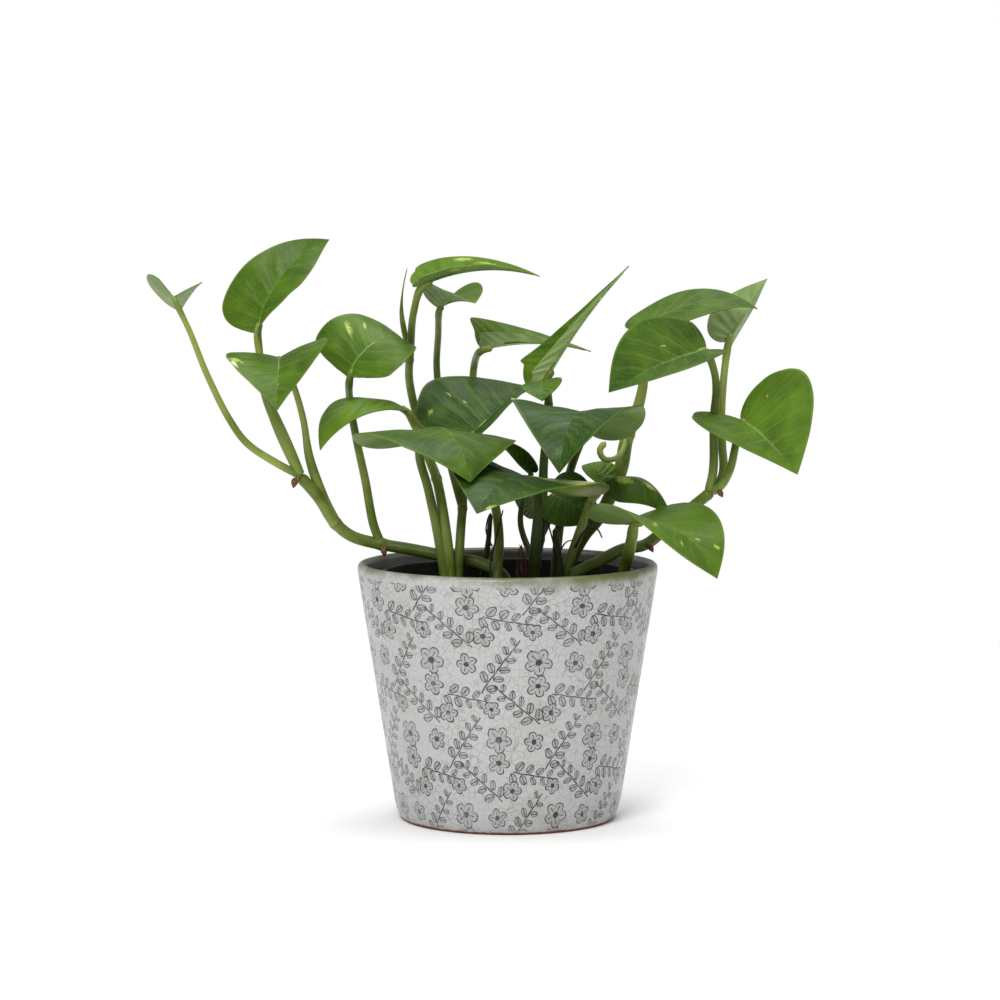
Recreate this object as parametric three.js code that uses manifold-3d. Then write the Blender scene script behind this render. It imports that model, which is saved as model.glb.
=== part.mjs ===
// Golden pothos in a crackle-glazed printed pot.
// Millimetres, +Z up. The origin is the centre of the pot's flat foot, and the front is -Y.
import * as THREE from 'three';
import { mergeVertices } from 'three/addons/utils/BufferGeometryUtils.js';
import Module from 'manifold-3d';

// Ceramic pot
const POT_HEIGHT = 120;
const POT_RIM_RADIUS = 70;
const POT_FOOT_RADIUS = 49;
const POT_KNEE_RADIUS = 53.5;
const POT_KNEE_HEIGHT = 11;
const POT_WALL = 5;
const POT_FLOOR = 8;
const POT_SEGMENTS = 48;
const RIM_THICKNESS = 4.2;
const RIM_DROP = 4;
const RIM_SHOULDER = 2.4;
const RIM_ROUNDING = 0.8;
const RIM_INNER_DROP = 3;
const FOOT_FLARE = 1.2;
const FOOT_CHAMFER = 0.6;
const KNEE_TUCK = 1.4;
const KNEE_START = 5;
const FLOOR_FLARE = 3;
const FLOOR_FILLET = 6;

// Nursery pot that the plant grows in, standing on the ceramic pot's floor
const SEAT_GAP = 0.3;
const GROW_HEIGHT = 107;
const GROW_RIM_RADIUS = 61;
const GROW_TOP_RADIUS = 59;
const GROW_BASE_RADIUS = 44;
const GROW_WALL = 1.4;
const GROW_LIP = 6;
const INNER_SEGMENTS = 36;
const DRAIN_RADIUS = 4;
const DRAIN_RING = 26;
const DRAIN_COUNT = 5;
const DRAIN_SIDES = 12;

// Soil, inside the nursery pot
const SOIL_TOP = 103;
const SOIL_MOUND = 3;
const SOIL_EDGE = 9;
const SOIL_EDGE_DROP = 0.8;
const MOUND_FOOT = [34, 0.7];
const MOUND_TOP = [18, 1];
const MOUND_CENTRE = [0, 0.8];
const STEM_CLEARANCE = 0.35;
const HOLE_SIDES = 8;

// Leaf blades and stalks
const BLADE_THICKNESS = 0.8;
const BLADE_ROWS = 9;
const BLADE_COLUMNS = 3;
const STALK_SIDES = 6;
const STALK_STEP = 11;
const STALK_SINK = 0.4;
const MIDRIB_STEPS = 60;

// How the blade's grid crowds towards the notch, and how its rows bow from midrib to margin
const NOTCH_CROWDING = 2.2;
const ROW_BOW = 1.2;

// Half of a flat blade's outline, from the notch at the stalk round the lobe to the drip tip.
// x is measured in blade widths and y in blade lengths.
const LOBE_SHARE = 0.35;
const LOBE = [[0, 0], [0.05, -0.11], [0.4, -0.2], [0.5, 0.17]];
const SIDE = [[0.5, 0.17], [0.57, 0.5], [0.17, 0.82], [0, 1]];

// Each blade runs from its notch (base) to its tip, and its upper side faces about along `faces`.
// width is across both halves. left and right are the angles that the halves fold up at the
// midrib, changing to leftTip and rightTip towards the tip, and curlLeft and curlRight how much
// further they bend towards their margins. arch bends the midrib down, more towards the tip
// where late is over 1, and sway bends it sideways. slimLeft and slimRight narrow one half.
// lobe deepens or shortens the basal lobes, and full under 1 widens the blade nearer its tip.
const LEAVES = {
  a: {
    base: [-153.9, -12, 243.8], tip: [-153.9, 20, 236.3], faces: [0, 0, 1],
    width: 35, left: 50, right: 30, leftTip: 20, rightTip: 55, slimRight: 0.85, lobe: 0.3, full: 0.9,
  },
  b: {
    base: [-116, -5, 227], tip: [-83, 8, 270], faces: [-0.5, -1, 0.2],
    width: 43, left: -8, right: 66, arch: 45, sway: -40, lobe: 0.1, full: 1.2, leftTip: 20, rightTip: -10,
  },
  c: {
    base: [-105, -16, 216], tip: [-104, -50, 194], faces: [0, -0.6, 0.9],
    width: 48, left: 24, right: 8, arch: 50, full: 1.4,
  },
  d: {
    base: [-74, 2, 206], tip: [-45, 29, 217], faces: [-0.5, -0.6, 0.8],
    width: 50, left: 26, right: -10, arch: 130, lobe: -0.3,
    slimRight: 0.95, leftTip: 26, rightTip: -22, sway: 34,
  },
  e: {
    base: [-46, 2, 190], tip: [-86, -24, 174], faces: [-0.2, -0.15, 1],
    width: 38, left: -20, right: 0, arch: 112, lobe: -0.2, full: 0.8, slimLeft: 0.6, slimRight: 1.1,
  },
  f: {
    base: [-18, 12, 177], tip: [12, 48, 199], faces: [0.2, -0.5, 0.85],
    width: 78, left: -8, right: 55, slimRight: 0.5, arch: 40, full: 0.75, lobe: 1.2,
  },
  f2: {
    base: [16, 0, 204], tip: [16, -14, 196], faces: [-0.1, -0.2, 1],
    width: 19, left: 10, right: 0, arch: 40,
  },
  g: {
    base: [-40, -8, 178], tip: [-17, -58, 162], faces: [0.2, -0.4, 0.9],
    width: 78, left: -9, right: -3, arch: 100,
  },
  h: {
    base: [13, -10, 156], tip: [-14, -70, 149], faces: [-0.1, -0.6, 0.9],
    width: 80, left: 6, right: 12, arch: 70,
  },
  i: {
    base: [37, -12, 182], tip: [23, -58, 166], faces: [-0.15, -0.8, 0.8],
    width: 68, left: 12, right: 5, arch: 140, slimLeft: 0.82, full: 1.15,
  },
  j: {
    base: [45, -3, 159], tip: [76, -6, 140], faces: [0.6, -0.5, 0.7],
    width: 50, left: -26, right: -45, curlRight: -40, slimLeft: 0.7, slimRight: 0.48, arch: 112, lobe: 0.4,
  },
  k: {
    base: [58, -30, 141], tip: [94, -62, 119], faces: [0.25, -0.45, 1],
    width: 54, left: 8, right: 34, arch: 80, full: 0.85, lobe: 2.5, rightTip: 0,
  },
  l: {
    base: [109, 5, 186], tip: [133, -25, 163], faces: [0.3, -0.6, 0.8],
    width: 70, left: 46, right: 14, arch: 20, lobe: 1.5, full: 1.2,
  },
  m: {
    base: [92, 0, 219], tip: [46, -30, 201], faces: [-0.1, -0.5, 1],
    width: 46, left: 18, right: 38, arch: 20, full: 0.7, lobe: 0.5,
  },
  n: {
    base: [62, 22, 229], tip: [118, 28, 237], faces: [0, -0.25, 1],
    width: 36, left: 5, right: -5, arch: 60, late: 2, full: 0.75,
  },
  o: {
    base: [105, 34, 222], tip: [124, 48, 251], faces: [0, 1, 0],
    width: 28, left: 75, right: 10, arch: 20,
  },
  p: {
    base: [17.5, 5, 204.5], tip: [56, -5, 258], faces: [-1, 0, 0.7],
    width: 40, left: 52, right: 85, arch: 14, leftTip: 24,
    rightTip: 85, lobe: 1.1, full: 3.2, slimLeft: 0.9, slimRight: 0.37,
  },
  q: {
    base: [-12, 34, 218], tip: [40, 50, 216], faces: [0, 0.3, 1],
    width: 36, left: 75, right: 80, arch: 30, slimRight: 0.42,
    lobe: 0.3, full: 2.8, leftTip: 50, rightTip: 80, slimLeft: 0.95,
  },
  r: {
    base: [-40, 5, 249], tip: [15, 5, 253], faces: [0, 0.1, 1],
    width: 34, left: 66, right: 20, arch: 42, slimRight: 0.5, slimLeft: 0.6, full: 1.7, lobe: 0.8,
  },
  s: {
    base: [-32, 20, 238], tip: [-15, -8, 241], faces: [-0.1, -0.1, 1],
    width: 29, left: 28, right: 56, arch: 30, leftTip: 5, rightTip: 25, lobe: 0.6, slimLeft: 1.25,
  },
  u: {
    base: [11, 8, 162], tip: [-3, 14, 175], faces: [0.2, -1, 0.2],
    width: 14, left: 60, right: 60, arch: 40,
  },
  w: {
    base: [46, 4, 158], tip: [35, 13, 164], faces: [0.1, -0.3, 1],
    width: 20, left: 10, right: 10, arch: 60,
  },
  x: {
    base: [21, 6, 151], tip: [43, 4, 139], faces: [0.1, -1, 0.4],
    width: 28, left: 10, right: 10, arch: 40,
  },
  y: {
    base: [13, 20, 142], tip: [3, 22, 148], faces: [0.3, 1, 0.6],
    width: 14, left: 10, right: 10, arch: 20,
  },
};

// A stalk runs through its points from its thick end to its thin end. One that carries a leaf
// goes on from its last point into the underside of that blade.
const PLANTS = {
  vine_left: [
    {
      radius: [3, 2.7],
      through: [
        [4, -2, 80], [3, -1, 100], [-3, 1, 114], [-13, 4, 119], [-24, 6, 121], [-46, 10, 125],
        [-59, 12, 127], [-73, 10, 131], [-81, 6, 138], [-88, 0, 150], [-97, -4, 161],
      ],
    },
    {
      leaf: 'a', radius: [1.9, 1.2],
      through: [
        [-95, -4, 160], [-108, -5, 167], [-121, -6, 176], [-129, -6, 187], [-139, -9, 208],
        [-147, -12, 229],
      ],
    },
    {
      leaf: 'b', radius: [2.2, 1.6],
      through: [
        [-96, -4, 160], [-108, -3, 187], [-113, -4, 200], [-115, -5, 218],
      ],
    },
    {
      leaf: 'c', radius: [2, 1.3],
      through: [
        [-80, 6, 138], [-86, 2, 150], [-92, -2, 168], [-95, -6, 188], [-100, -12, 206],
      ],
    },
    {
      leaf: 'd', radius: [2.2, 1.6],
      through: [
        [-59, 12, 126], [-63, 13, 136], [-67, 16, 157], [-71, 19, 175], [-74, 17, 193],
      ],
    },
  ],
  vine_right: [
    {
      radius: [3, 2.6],
      through: [
        [17, -4, 80], [20, -3, 100], [28, 0, 112], [43, 4, 120], [54, 9, 125], [65, 12, 127],
        [76, 12, 136], [89, 8, 147], [96, 5, 153],
      ],
    },
    {
      leaf: 'l', radius: [2.2, 1.6],
      through: [
        [95, 6, 152], [100, 3, 156], [104, 2, 164], [106, 2, 173],
      ],
    },
    {
      leaf: 'm', radius: [2.2, 1.6],
      through: [
        [94, 6, 152], [96, 3, 163], [96, 2, 187], [97, 1, 200], [96, 0, 209],
      ],
    },
    {
      leaf: 'o', radius: [2.2, 1.6],
      through: [
        [96, 8, 152], [101, 12, 160], [101, 18, 174], [101, 24, 188], [103, 32, 209],
      ],
    },
    {
      leaf: 'j', radius: [2.3, 1.7],
      through: [
        [24, -2, 108], [28, -4, 119], [32, -7, 131], [39, -7, 150],
      ],
    },
    { leaf: 'w', radius: [1.6, 1.2], through: [[38, -7, 148], [43, 0, 153]] },
    { radius: [3.2, 1.4], through: [[21, -6, 95], [24, -7, 113], [23, -7, 127], [22, -8, 137]] },
  ],
  shoot_left: [
    {
      leaf: 'g', radius: [2.6, 1.9],
      through: [
        [-26, -6, 80], [-28, -6, 104], [-32, -6, 131], [-37, -6, 155], [-41, -5, 170],
      ],
    },
    {
      leaf: 'r', radius: [2.7, 1.6],
      through: [
        [-24, -7, 80], [-26, -7, 110], [-29, -6, 137], [-33, 3, 158], [-38, 24, 169],
        [-41, 38, 179], [-45, 45, 192], [-47, 44, 204], [-46, 34, 218], [-44, 14, 236],
      ],
    },
    { leaf: 'e', radius: [2, 1.6], through: [[-33, 4, 158], [-38, 7, 170], [-43, 7, 182]] },
    {
      leaf: 'q', radius: [2.4, 1.6],
      through: [
        [-22, -6, 80], [-23, -6, 110], [-22, -4, 133], [-21, 6, 147], [-21, 22, 164],
        [-19, 40, 182], [-17, 53, 197], [-16, 55, 209],
      ],
    },
    {
      leaf: 's', radius: [1.9, 1.5],
      through: [
        [-21, 4, 144], [-27, 16, 165], [-31, 36, 182], [-33, 51, 197], [-34, 53, 209],
        [-33, 40, 224],
      ],
    },
    {
      radius: [1.3, 0.4],
      through: [
        [-47, 39, 212], [-48, 33, 221], [-50, 25, 236], [-49, 21, 248], [-47, 19, 257],
      ],
    },
  ],
  shoot_back: [
    {
      leaf: 'f', radius: [2.6, 1.9],
      through: [
        [-4, -10, 80], [-5, -9, 112], [-4, 1, 130], [-6, 12, 146], [-12, 17, 165],
      ],
    },
  ],
  shoot_center: [
    {
      leaf: 'h', radius: [3, 2.1],
      through: [
        [11, -9, 80], [12, -10, 113], [13, -12, 131], [14, -12, 145],
      ],
    },
    {
      leaf: 'p', radius: [2.6, 1.7],
      through: [
        [12, -9, 109], [13, -4, 120], [16, 4, 139], [17, 7, 167], [19, 6, 186], [19, 5, 196],
      ],
    },
    { leaf: 'f2', radius: [1.2, 0.9], through: [[20, 5, 193], [18, 3, 200]] },
    { leaf: 'x', radius: [1.6, 1.3], through: [[15, 4, 130], [20, 6, 141]] },
    { leaf: 'y', radius: [1.5, 1.1], through: [[13, -3, 122], [16, 11, 131]] },
    { leaf: 'u', radius: [1.6, 1.1], through: [[12, -10, 121], [6, 4, 138], [8, 8, 152]] },
  ],
  shoot_dark: [
    {
      leaf: 'i', radius: [2.4, 1.8],
      through: [
        [22, 11, 80], [22, 12, 108], [25, 15, 139], [29, 13, 160], [34, -2, 176],
      ],
    },
  ],
  shoot_right: [
    {
      leaf: 'n', radius: [3.2, 1.7],
      through: [
        [24, 20, 80], [26, 20, 108], [36, 18, 130], [43, 17, 139], [53, 17, 161], [56, 17, 176],
        [61, 18, 190], [64, 20, 204], [63, 22, 218],
      ],
    },
    {
      radius: [1, 1.6],
      through: [
        [56, 16, 179], [54, 9, 172], [50, 4, 168], [45, 3, 168], [43, 4, 172], [46, 5, 176],
      ],
    },
  ],
  shoot_front: [
    {
      leaf: 'k', radius: [2.3, 1.7],
      through: [
        [47, -5, 80], [51, -7, 104], [54, -10, 117], [56, -20, 127], [57, -27, 134],
      ],
    },
  ],
  spur: [
    { radius: [1.8, 1.1], through: [[-13, 14, 85], [-12, 14, 110], [-9, 13, 129], [-8, 13, 142]] },
  ],
};

const wasm = await Module();
wasm.setup();

function material(color, roughness, metalness = 0) {
  return new THREE.MeshStandardMaterial({ color, roughness, metalness });
}

const LEAF_GREEN = material(0x3f7a2c, 0.4);
const GLAZE = material(0xd5d5cf, 0.3);
const NURSERY_PLASTIC = material(0x202020, 0.6);
const PEAT = material(0x2b211a, 1);

function closedGeometry(geometry) {
  const bare = geometry.clone();
  bare.deleteAttribute('normal');
  bare.deleteAttribute('uv');
  return mergeVertices(bare, 1e-4);
}

function toSolid(geometry) {
  const merged = closedGeometry(geometry);
  return new wasm.Manifold(new wasm.Mesh({
    numProp: 3,
    vertProperties: Float32Array.from(merged.attributes.position.array),
    triVerts: Uint32Array.from(merged.index.array),
  }));
}

function toGeometry(solid) {
  const mesh = solid.getMesh();
  const geometry = new THREE.BufferGeometry();
  geometry.setAttribute('position', new THREE.BufferAttribute(mesh.vertProperties, 3));
  geometry.setIndex(new THREE.BufferAttribute(mesh.triVerts, 1));
  geometry.computeVertexNormals();
  return geometry;
}

// A profile of [radius, height] points, turned about the Z axis.
function turned(points, segments) {
  const profile = points.map(([radius, height]) => new THREE.Vector2(radius, height));
  return new THREE.LatheGeometry(profile, segments).rotateX(Math.PI / 2);
}

function bezier(places, depth = 1) {
  const points = places.map(([x, y]) => new THREE.Vector2(x, y < 0 ? y * depth : y));
  return new THREE.CubicBezierCurve(...points);
}

function marginPoint(leaf, share) {
  const point = share < LOBE_SHARE
    ? bezier(LOBE, leaf.lobe).getPoint(share / LOBE_SHARE)
    : bezier(SIDE).getPoint((share - LOBE_SHARE) / (1 - LOBE_SHARE));
  if (point.y > 0) point.y **= leaf.full ?? 1;
  return point;
}

// The midrib as directions at even steps, turned so that it ends straight above its start.
function bladeFrame(leaf) {
  const base = new THREE.Vector3(...leaf.base);
  const tip = new THREE.Vector3(...leaf.tip);
  const forward = tip.clone().sub(base).normalize();
  const normal = new THREE.Vector3(...leaf.faces);
  normal.addScaledVector(forward, -normal.dot(forward)).normalize();
  const across = forward.clone().cross(normal);
  const arch = THREE.MathUtils.degToRad(leaf.arch ?? 0);
  const sway = THREE.MathUtils.degToRad(leaf.sway ?? 0);
  const late = leaf.late ?? 1;
  const steps = MIDRIB_STEPS;
  let rise = 0;
  let run = 0;
  for (let i = 0; i <= steps; i += 1) {
    rise -= Math.sin(arch * (i / steps) ** late);
    run += Math.cos(arch * (i / steps) ** late);
  }
  const start = -Math.atan2(rise, run);
  const pitchAt = (u) => start - arch * u ** late;
  const swayAt = (u) => sway / 2 - sway * u;
  const directionAt = (u) => new THREE.Vector3(
    Math.cos(pitchAt(u)) * Math.sin(swayAt(u)),
    Math.cos(pitchAt(u)) * Math.cos(swayAt(u)),
    Math.sin(pitchAt(u)),
  );
  const midrib = [new THREE.Vector3()];
  for (let i = 0; i < steps; i += 1) {
    const middle = directionAt((i + 0.5) / steps).divideScalar(steps);
    midrib.push(midrib[i].clone().add(middle));
  }
  const length = base.distanceTo(tip) / midrib[steps].length();
  const midribAt = (u) => {
    const place = u * steps;
    const i = Math.min(Math.floor(place), steps - 1);
    return midrib[i].clone().lerp(midrib[i + 1], place - i).multiplyScalar(length);
  };
  const upAt = (u) => new THREE.Vector3(
    -Math.sin(pitchAt(u)) * Math.sin(swayAt(u)),
    -Math.sin(pitchAt(u)) * Math.cos(swayAt(u)),
    Math.cos(pitchAt(u)),
  );
  const toWorld = (local) => base.clone()
    .addScaledVector(across, local.x)
    .addScaledVector(forward, local.y)
    .addScaledVector(normal, local.z);
  return { length, midribAt, directionAt, upAt, toWorld };
}

// A point of the blade: row runs from notch to tip, and side from -1 (left margin) to 1.
function bladePoint(leaf, frame, row, side) {
  const margin = marginPoint(leaf, row);
  const spine = row ** NOTCH_CROWDING;
  const along = spine + (margin.y - spine) * Math.abs(side) ** ROW_BOW;
  const u = THREE.MathUtils.clamp(along, 0, 1);
  const isLeft = side < 0;
  const slim = (isLeft ? leaf.slimLeft : leaf.slimRight) ?? 1;
  const atNotch = isLeft ? leaf.left : leaf.right;
  const atTip = (isLeft ? leaf.leftTip : leaf.rightTip) ?? atNotch;
  const fold = THREE.MathUtils.degToRad(THREE.MathUtils.lerp(atNotch, atTip, u));
  const curl = THREE.MathUtils.degToRad((isLeft ? leaf.curlLeft : leaf.curlRight) ?? 0) + 1e-6;
  const reach = margin.x * Math.abs(side) * leaf.width * slim;
  const bend = curl / (leaf.width / 2);
  const outward = (Math.sin(fold + bend * reach) - Math.sin(fold)) / bend;
  const upward = (Math.cos(fold) - Math.cos(fold + bend * reach)) / bend;
  const direction = frame.directionAt(u);
  const up = frame.upAt(u);
  const local = frame.midribAt(u)
    .addScaledVector(direction, Math.min(along, 0) * frame.length)
    .addScaledVector(direction.clone().cross(up), Math.sign(side) * outward)
    .addScaledVector(up, upward);
  return frame.toWorld(local);
}

// The blade as a closed sheet: its middle surface, offset to both sides along its normals.
function bladeGeometry(leaf) {
  const frame = bladeFrame(leaf);
  const columns = 2 * BLADE_COLUMNS + 1;
  const points = [bladePoint(leaf, frame, 0, 0)];
  for (let i = 1; i < BLADE_ROWS; i += 1) {
    for (let j = 0; j < columns; j += 1) {
      points.push(bladePoint(leaf, frame, i / BLADE_ROWS, j / BLADE_COLUMNS - 1));
    }
  }
  points.push(bladePoint(leaf, frame, 1, 0));
  const at = (i, j) => 1 + (i - 1) * columns + j;
  const last = points.length - 1;
  const faces = [];
  for (let j = 0; j < columns - 1; j += 1) {
    faces.push([0, at(1, j + 1), at(1, j)]);
    for (let i = 1; i < BLADE_ROWS - 1; i += 1) {
      faces.push([at(i, j), at(i, j + 1), at(i + 1, j)]);
      faces.push([at(i, j + 1), at(i + 1, j + 1), at(i + 1, j)]);
    }
    faces.push([at(BLADE_ROWS - 1, j), at(BLADE_ROWS - 1, j + 1), last]);
  }
  const middle = new THREE.BufferGeometry().setFromPoints(points);
  middle.setIndex(faces.flat());
  middle.computeVertexNormals();
  const normals = middle.attributes.normal;
  const offset = (k, distance) => points[k].clone()
    .addScaledVector(new THREE.Vector3().fromBufferAttribute(normals, k), distance);
  const top = points.map((point, k) => offset(k, BLADE_THICKNESS / 2));
  const under = points.map((point, k) => offset(k, -BLADE_THICKNESS / 2));
  const rim = [0];
  for (let i = 1; i < BLADE_ROWS; i += 1) rim.push(at(i, columns - 1));
  rim.push(last);
  for (let i = BLADE_ROWS - 1; i > 0; i -= 1) rim.push(at(i, 0));
  const count = points.length;
  const index = faces.flatMap(([a, b, c]) => [a, b, c, a + count, c + count, b + count]);
  rim.forEach((a, k) => {
    const b = rim[(k + 1) % rim.length];
    index.push(a, a + count, b + count, a, b + count, b);
  });
  const sheet = new THREE.BufferGeometry().setFromPoints([...top, ...under]);
  sheet.setIndex(index);
  return sheet;
}

// A round stalk, extruded along a curve and then narrowed from its root to its end.
function stalkGeometry(points, [rootRadius, endRadius]) {
  const curve = new THREE.CatmullRomCurve3(points, false, 'centripetal');
  const steps = Math.max(3, Math.round(curve.getLength() / STALK_STEP));
  const section = new THREE.Shape();
  for (let k = 0; k < STALK_SIDES; k += 1) {
    const angle = (2 * Math.PI * k) / STALK_SIDES;
    const place = [Math.cos(angle), Math.sin(angle)];
    if (k === 0) section.moveTo(...place);
    else section.lineTo(...place);
  }
  const along = { steps, extrudePath: curve, bevelEnabled: false };
  const geometry = new THREE.ExtrudeGeometry(section, along);
  const centres = curve.getSpacedPoints(steps);
  const position = geometry.attributes.position;
  const vertex = new THREE.Vector3();
  for (let k = 0; k < position.count; k += 1) {
    vertex.fromBufferAttribute(position, k);
    const distances = centres.map((centre) => centre.distanceToSquared(vertex));
    const ring = distances.indexOf(Math.min(...distances));
    const radius = THREE.MathUtils.lerp(rootRadius, endRadius, ring / steps);
    vertex.sub(centres[ring]).multiplyScalar(radius).add(centres[ring]);
    position.setXYZ(k, vertex.x, vertex.y, vertex.z);
  }
  return geometry;
}

// The stalk's points, led on to the notch and a little way along the underside of the midrib.
function stalkRoute(stalk) {
  const points = stalk.through.map((place) => new THREE.Vector3(...place));
  if (!stalk.leaf) return points;
  const leaf = LEAVES[stalk.leaf];
  const frame = bladeFrame(leaf);
  const sink = STALK_SINK * stalk.radius[1];
  for (const u of [0, 0.1]) {
    const local = frame.midribAt(u).addScaledVector(frame.upAt(u), -sink);
    points.push(frame.toWorld(local));
  }
  return points;
}

function plantSolid(stalks) {
  return stalks.reduce((whole, stalk) => {
    const stem = toSolid(stalkGeometry(stalkRoute(stalk), stalk.radius));
    const part = stalk.leaf ? stem.add(toSolid(bladeGeometry(LEAVES[stalk.leaf]))) : stem;
    return whole ? whole.add(part) : part;
  }, null);
}

function potGeometry() {
  const innerFloor = POT_KNEE_RADIUS - POT_WALL - 1;
  return turned([
    [0, 0],
    [POT_FOOT_RADIUS, 0],
    [POT_FOOT_RADIUS + FOOT_FLARE, FOOT_CHAMFER],
    [POT_KNEE_RADIUS - KNEE_TUCK, KNEE_START],
    [POT_KNEE_RADIUS, POT_KNEE_HEIGHT],
    [POT_RIM_RADIUS, POT_HEIGHT - RIM_DROP],
    [POT_RIM_RADIUS, POT_HEIGHT - RIM_SHOULDER],
    [POT_RIM_RADIUS - RIM_ROUNDING, POT_HEIGHT - RIM_ROUNDING],
    [POT_RIM_RADIUS - RIM_THICKNESS / 2, POT_HEIGHT],
    [POT_RIM_RADIUS - RIM_THICKNESS, POT_HEIGHT - RIM_ROUNDING],
    [POT_RIM_RADIUS - POT_WALL, POT_HEIGHT - RIM_INNER_DROP],
    [innerFloor + FLOOR_FLARE, POT_FLOOR + FLOOR_FILLET],
    [innerFloor, POT_FLOOR],
    [0, POT_FLOOR],
  ], POT_SEGMENTS);
}

const growFloor = POT_FLOOR + SEAT_GAP;
const growTop = growFloor + GROW_HEIGHT;
const growSlope = (GROW_TOP_RADIUS - GROW_BASE_RADIUS) / GROW_HEIGHT;

// Inner radius of the nursery pot's wall at a height above the table.
function growInner(height) {
  return GROW_BASE_RADIUS + growSlope * (height - growFloor) - GROW_WALL;
}

function growPotGeometry() {
  const lipFoot = growTop - GROW_LIP;
  const shell = toSolid(turned([
    [0, growFloor],
    [GROW_BASE_RADIUS, growFloor],
    [GROW_BASE_RADIUS + growSlope * (lipFoot - growFloor), lipFoot],
    [GROW_RIM_RADIUS, lipFoot],
    [GROW_RIM_RADIUS, growTop],
    [GROW_TOP_RADIUS - GROW_WALL, growTop],
    [growInner(growFloor + GROW_WALL), growFloor + GROW_WALL],
    [0, growFloor + GROW_WALL],
  ], INNER_SEGMENTS));
  let drained = shell;
  for (let k = 0; k < DRAIN_COUNT; k += 1) {
    const angle = (2 * Math.PI * k) / DRAIN_COUNT;
    const depth = 4 * GROW_WALL;
    const hole = new THREE.CylinderGeometry(DRAIN_RADIUS, DRAIN_RADIUS, depth, DRAIN_SIDES);
    hole.rotateX(Math.PI / 2);
    hole.translate(DRAIN_RING * Math.cos(angle), DRAIN_RING * Math.sin(angle), growFloor);
    drained = drained.subtract(toSolid(hole));
  }
  return toGeometry(drained);
}

// A plain straight hole round the rooted end of a stalk, wide enough for its bend.
function stemHole(stalk) {
  const curve = new THREE.CatmullRomCurve3(stalkRoute(stalk), false, 'centripetal');
  const points = curve.getSpacedPoints(Math.round(curve.getLength()));
  const buried = points.filter((point) => point.z < SOIL_TOP + 2 * SOIL_MOUND);
  const foot = buried[0];
  const head = buried[buried.length - 1];
  const axis = head.clone().sub(foot).normalize();
  const bends = buried.map((point) => point.clone().sub(foot).cross(axis).length());
  const radius = Math.max(...bends) + stalk.radius[0] + STEM_CLEARANCE;
  const depth = head.distanceTo(foot) + 2 * stalk.radius[0];
  const outer = radius / Math.cos(Math.PI / HOLE_SIDES);
  const hole = new THREE.CylinderGeometry(outer, outer, depth, HOLE_SIDES);
  hole.translate(0, depth / 2, 0);
  hole.applyQuaternion(new THREE.Quaternion().setFromUnitVectors(new THREE.Vector3(0, 1, 0), axis));
  const start = foot.clone().addScaledVector(axis, -stalk.radius[0]);
  return hole.translate(start.x, start.y, start.z);
}

// Soil filling the nursery pot, with a hole for each stalk that grows out of it.
function soilGeometry() {
  const bottom = growFloor + GROW_WALL + SEAT_GAP;
  const mound = [MOUND_FOOT, MOUND_TOP, MOUND_CENTRE]
    .map(([radius, share]) => [radius, SOIL_TOP + share * SOIL_MOUND]);
  let soil = toSolid(turned([
    [0, bottom],
    [growInner(bottom) - SEAT_GAP, bottom],
    [growInner(SOIL_TOP) - SEAT_GAP, SOIL_TOP],
    [growInner(SOIL_TOP) - SOIL_EDGE, SOIL_TOP - SOIL_EDGE_DROP],
    ...mound,
  ], INNER_SEGMENTS));
  for (const stalk of Object.values(PLANTS).flat()) {
    const isRooted = stalk.through[0][2] < SOIL_TOP;
    if (isRooted) soil = soil.subtract(toSolid(stemHole(stalk)));
  }
  return toGeometry(soil);
}

const plant = new THREE.Group();

function addPart(name, geometry, look) {
  const mesh = new THREE.Mesh(geometry, look);
  mesh.name = name;
  plant.add(mesh);
}

addPart('pot', potGeometry(), GLAZE);
addPart('grow_pot', growPotGeometry(), NURSERY_PLASTIC);
addPart('soil', soilGeometry(), PEAT);
for (const [name, stalks] of Object.entries(PLANTS)) {
  addPart(name, toGeometry(plantSolid(stalks)), LEAF_GREEN);
}

export default plant;
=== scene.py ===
# Golden pothos in a printed, crackle-glazed pot: the looks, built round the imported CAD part.
# Numbers are millimetres and degrees unless a note says otherwise. +Z is up, the front is -Y.
import math
import random

import bmesh
import bpy
from mathutils import Euler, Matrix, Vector, noise


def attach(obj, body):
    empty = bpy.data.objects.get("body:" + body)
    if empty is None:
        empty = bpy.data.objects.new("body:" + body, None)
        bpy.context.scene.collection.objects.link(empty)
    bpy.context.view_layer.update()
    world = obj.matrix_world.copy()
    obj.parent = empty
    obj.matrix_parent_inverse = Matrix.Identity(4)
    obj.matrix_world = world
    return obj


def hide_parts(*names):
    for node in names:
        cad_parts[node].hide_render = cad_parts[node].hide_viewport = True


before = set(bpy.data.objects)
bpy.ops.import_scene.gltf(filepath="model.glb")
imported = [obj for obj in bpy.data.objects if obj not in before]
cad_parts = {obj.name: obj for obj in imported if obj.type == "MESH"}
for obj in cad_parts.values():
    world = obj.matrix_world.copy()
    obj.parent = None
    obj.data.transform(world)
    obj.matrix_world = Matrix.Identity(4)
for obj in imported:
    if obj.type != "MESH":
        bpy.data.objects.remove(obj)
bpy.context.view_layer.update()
mm = 0.001  # metres
print("frame loaded")

# Node helpers


def connect(value, socket):
    if isinstance(value, bpy.types.NodeSocket):
        socket.id_data.links.new(value, socket)
    elif value is not None:
        socket.default_value = value


def connectAll(sockets, **values):
    for name, value in values.items():
        connect(value, sockets[name])


def treeOf(values):
    return next(value.id_data for value in values if isinstance(value, bpy.types.NodeSocket))


def node(tree, kind, *values, **settings):
    made = tree.nodes.new("ShaderNode" + kind)
    for name, value in settings.items():
        setattr(made, name, value)
    for socket, value in zip(made.inputs, values):
        connect(value, socket)
    return made


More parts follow.
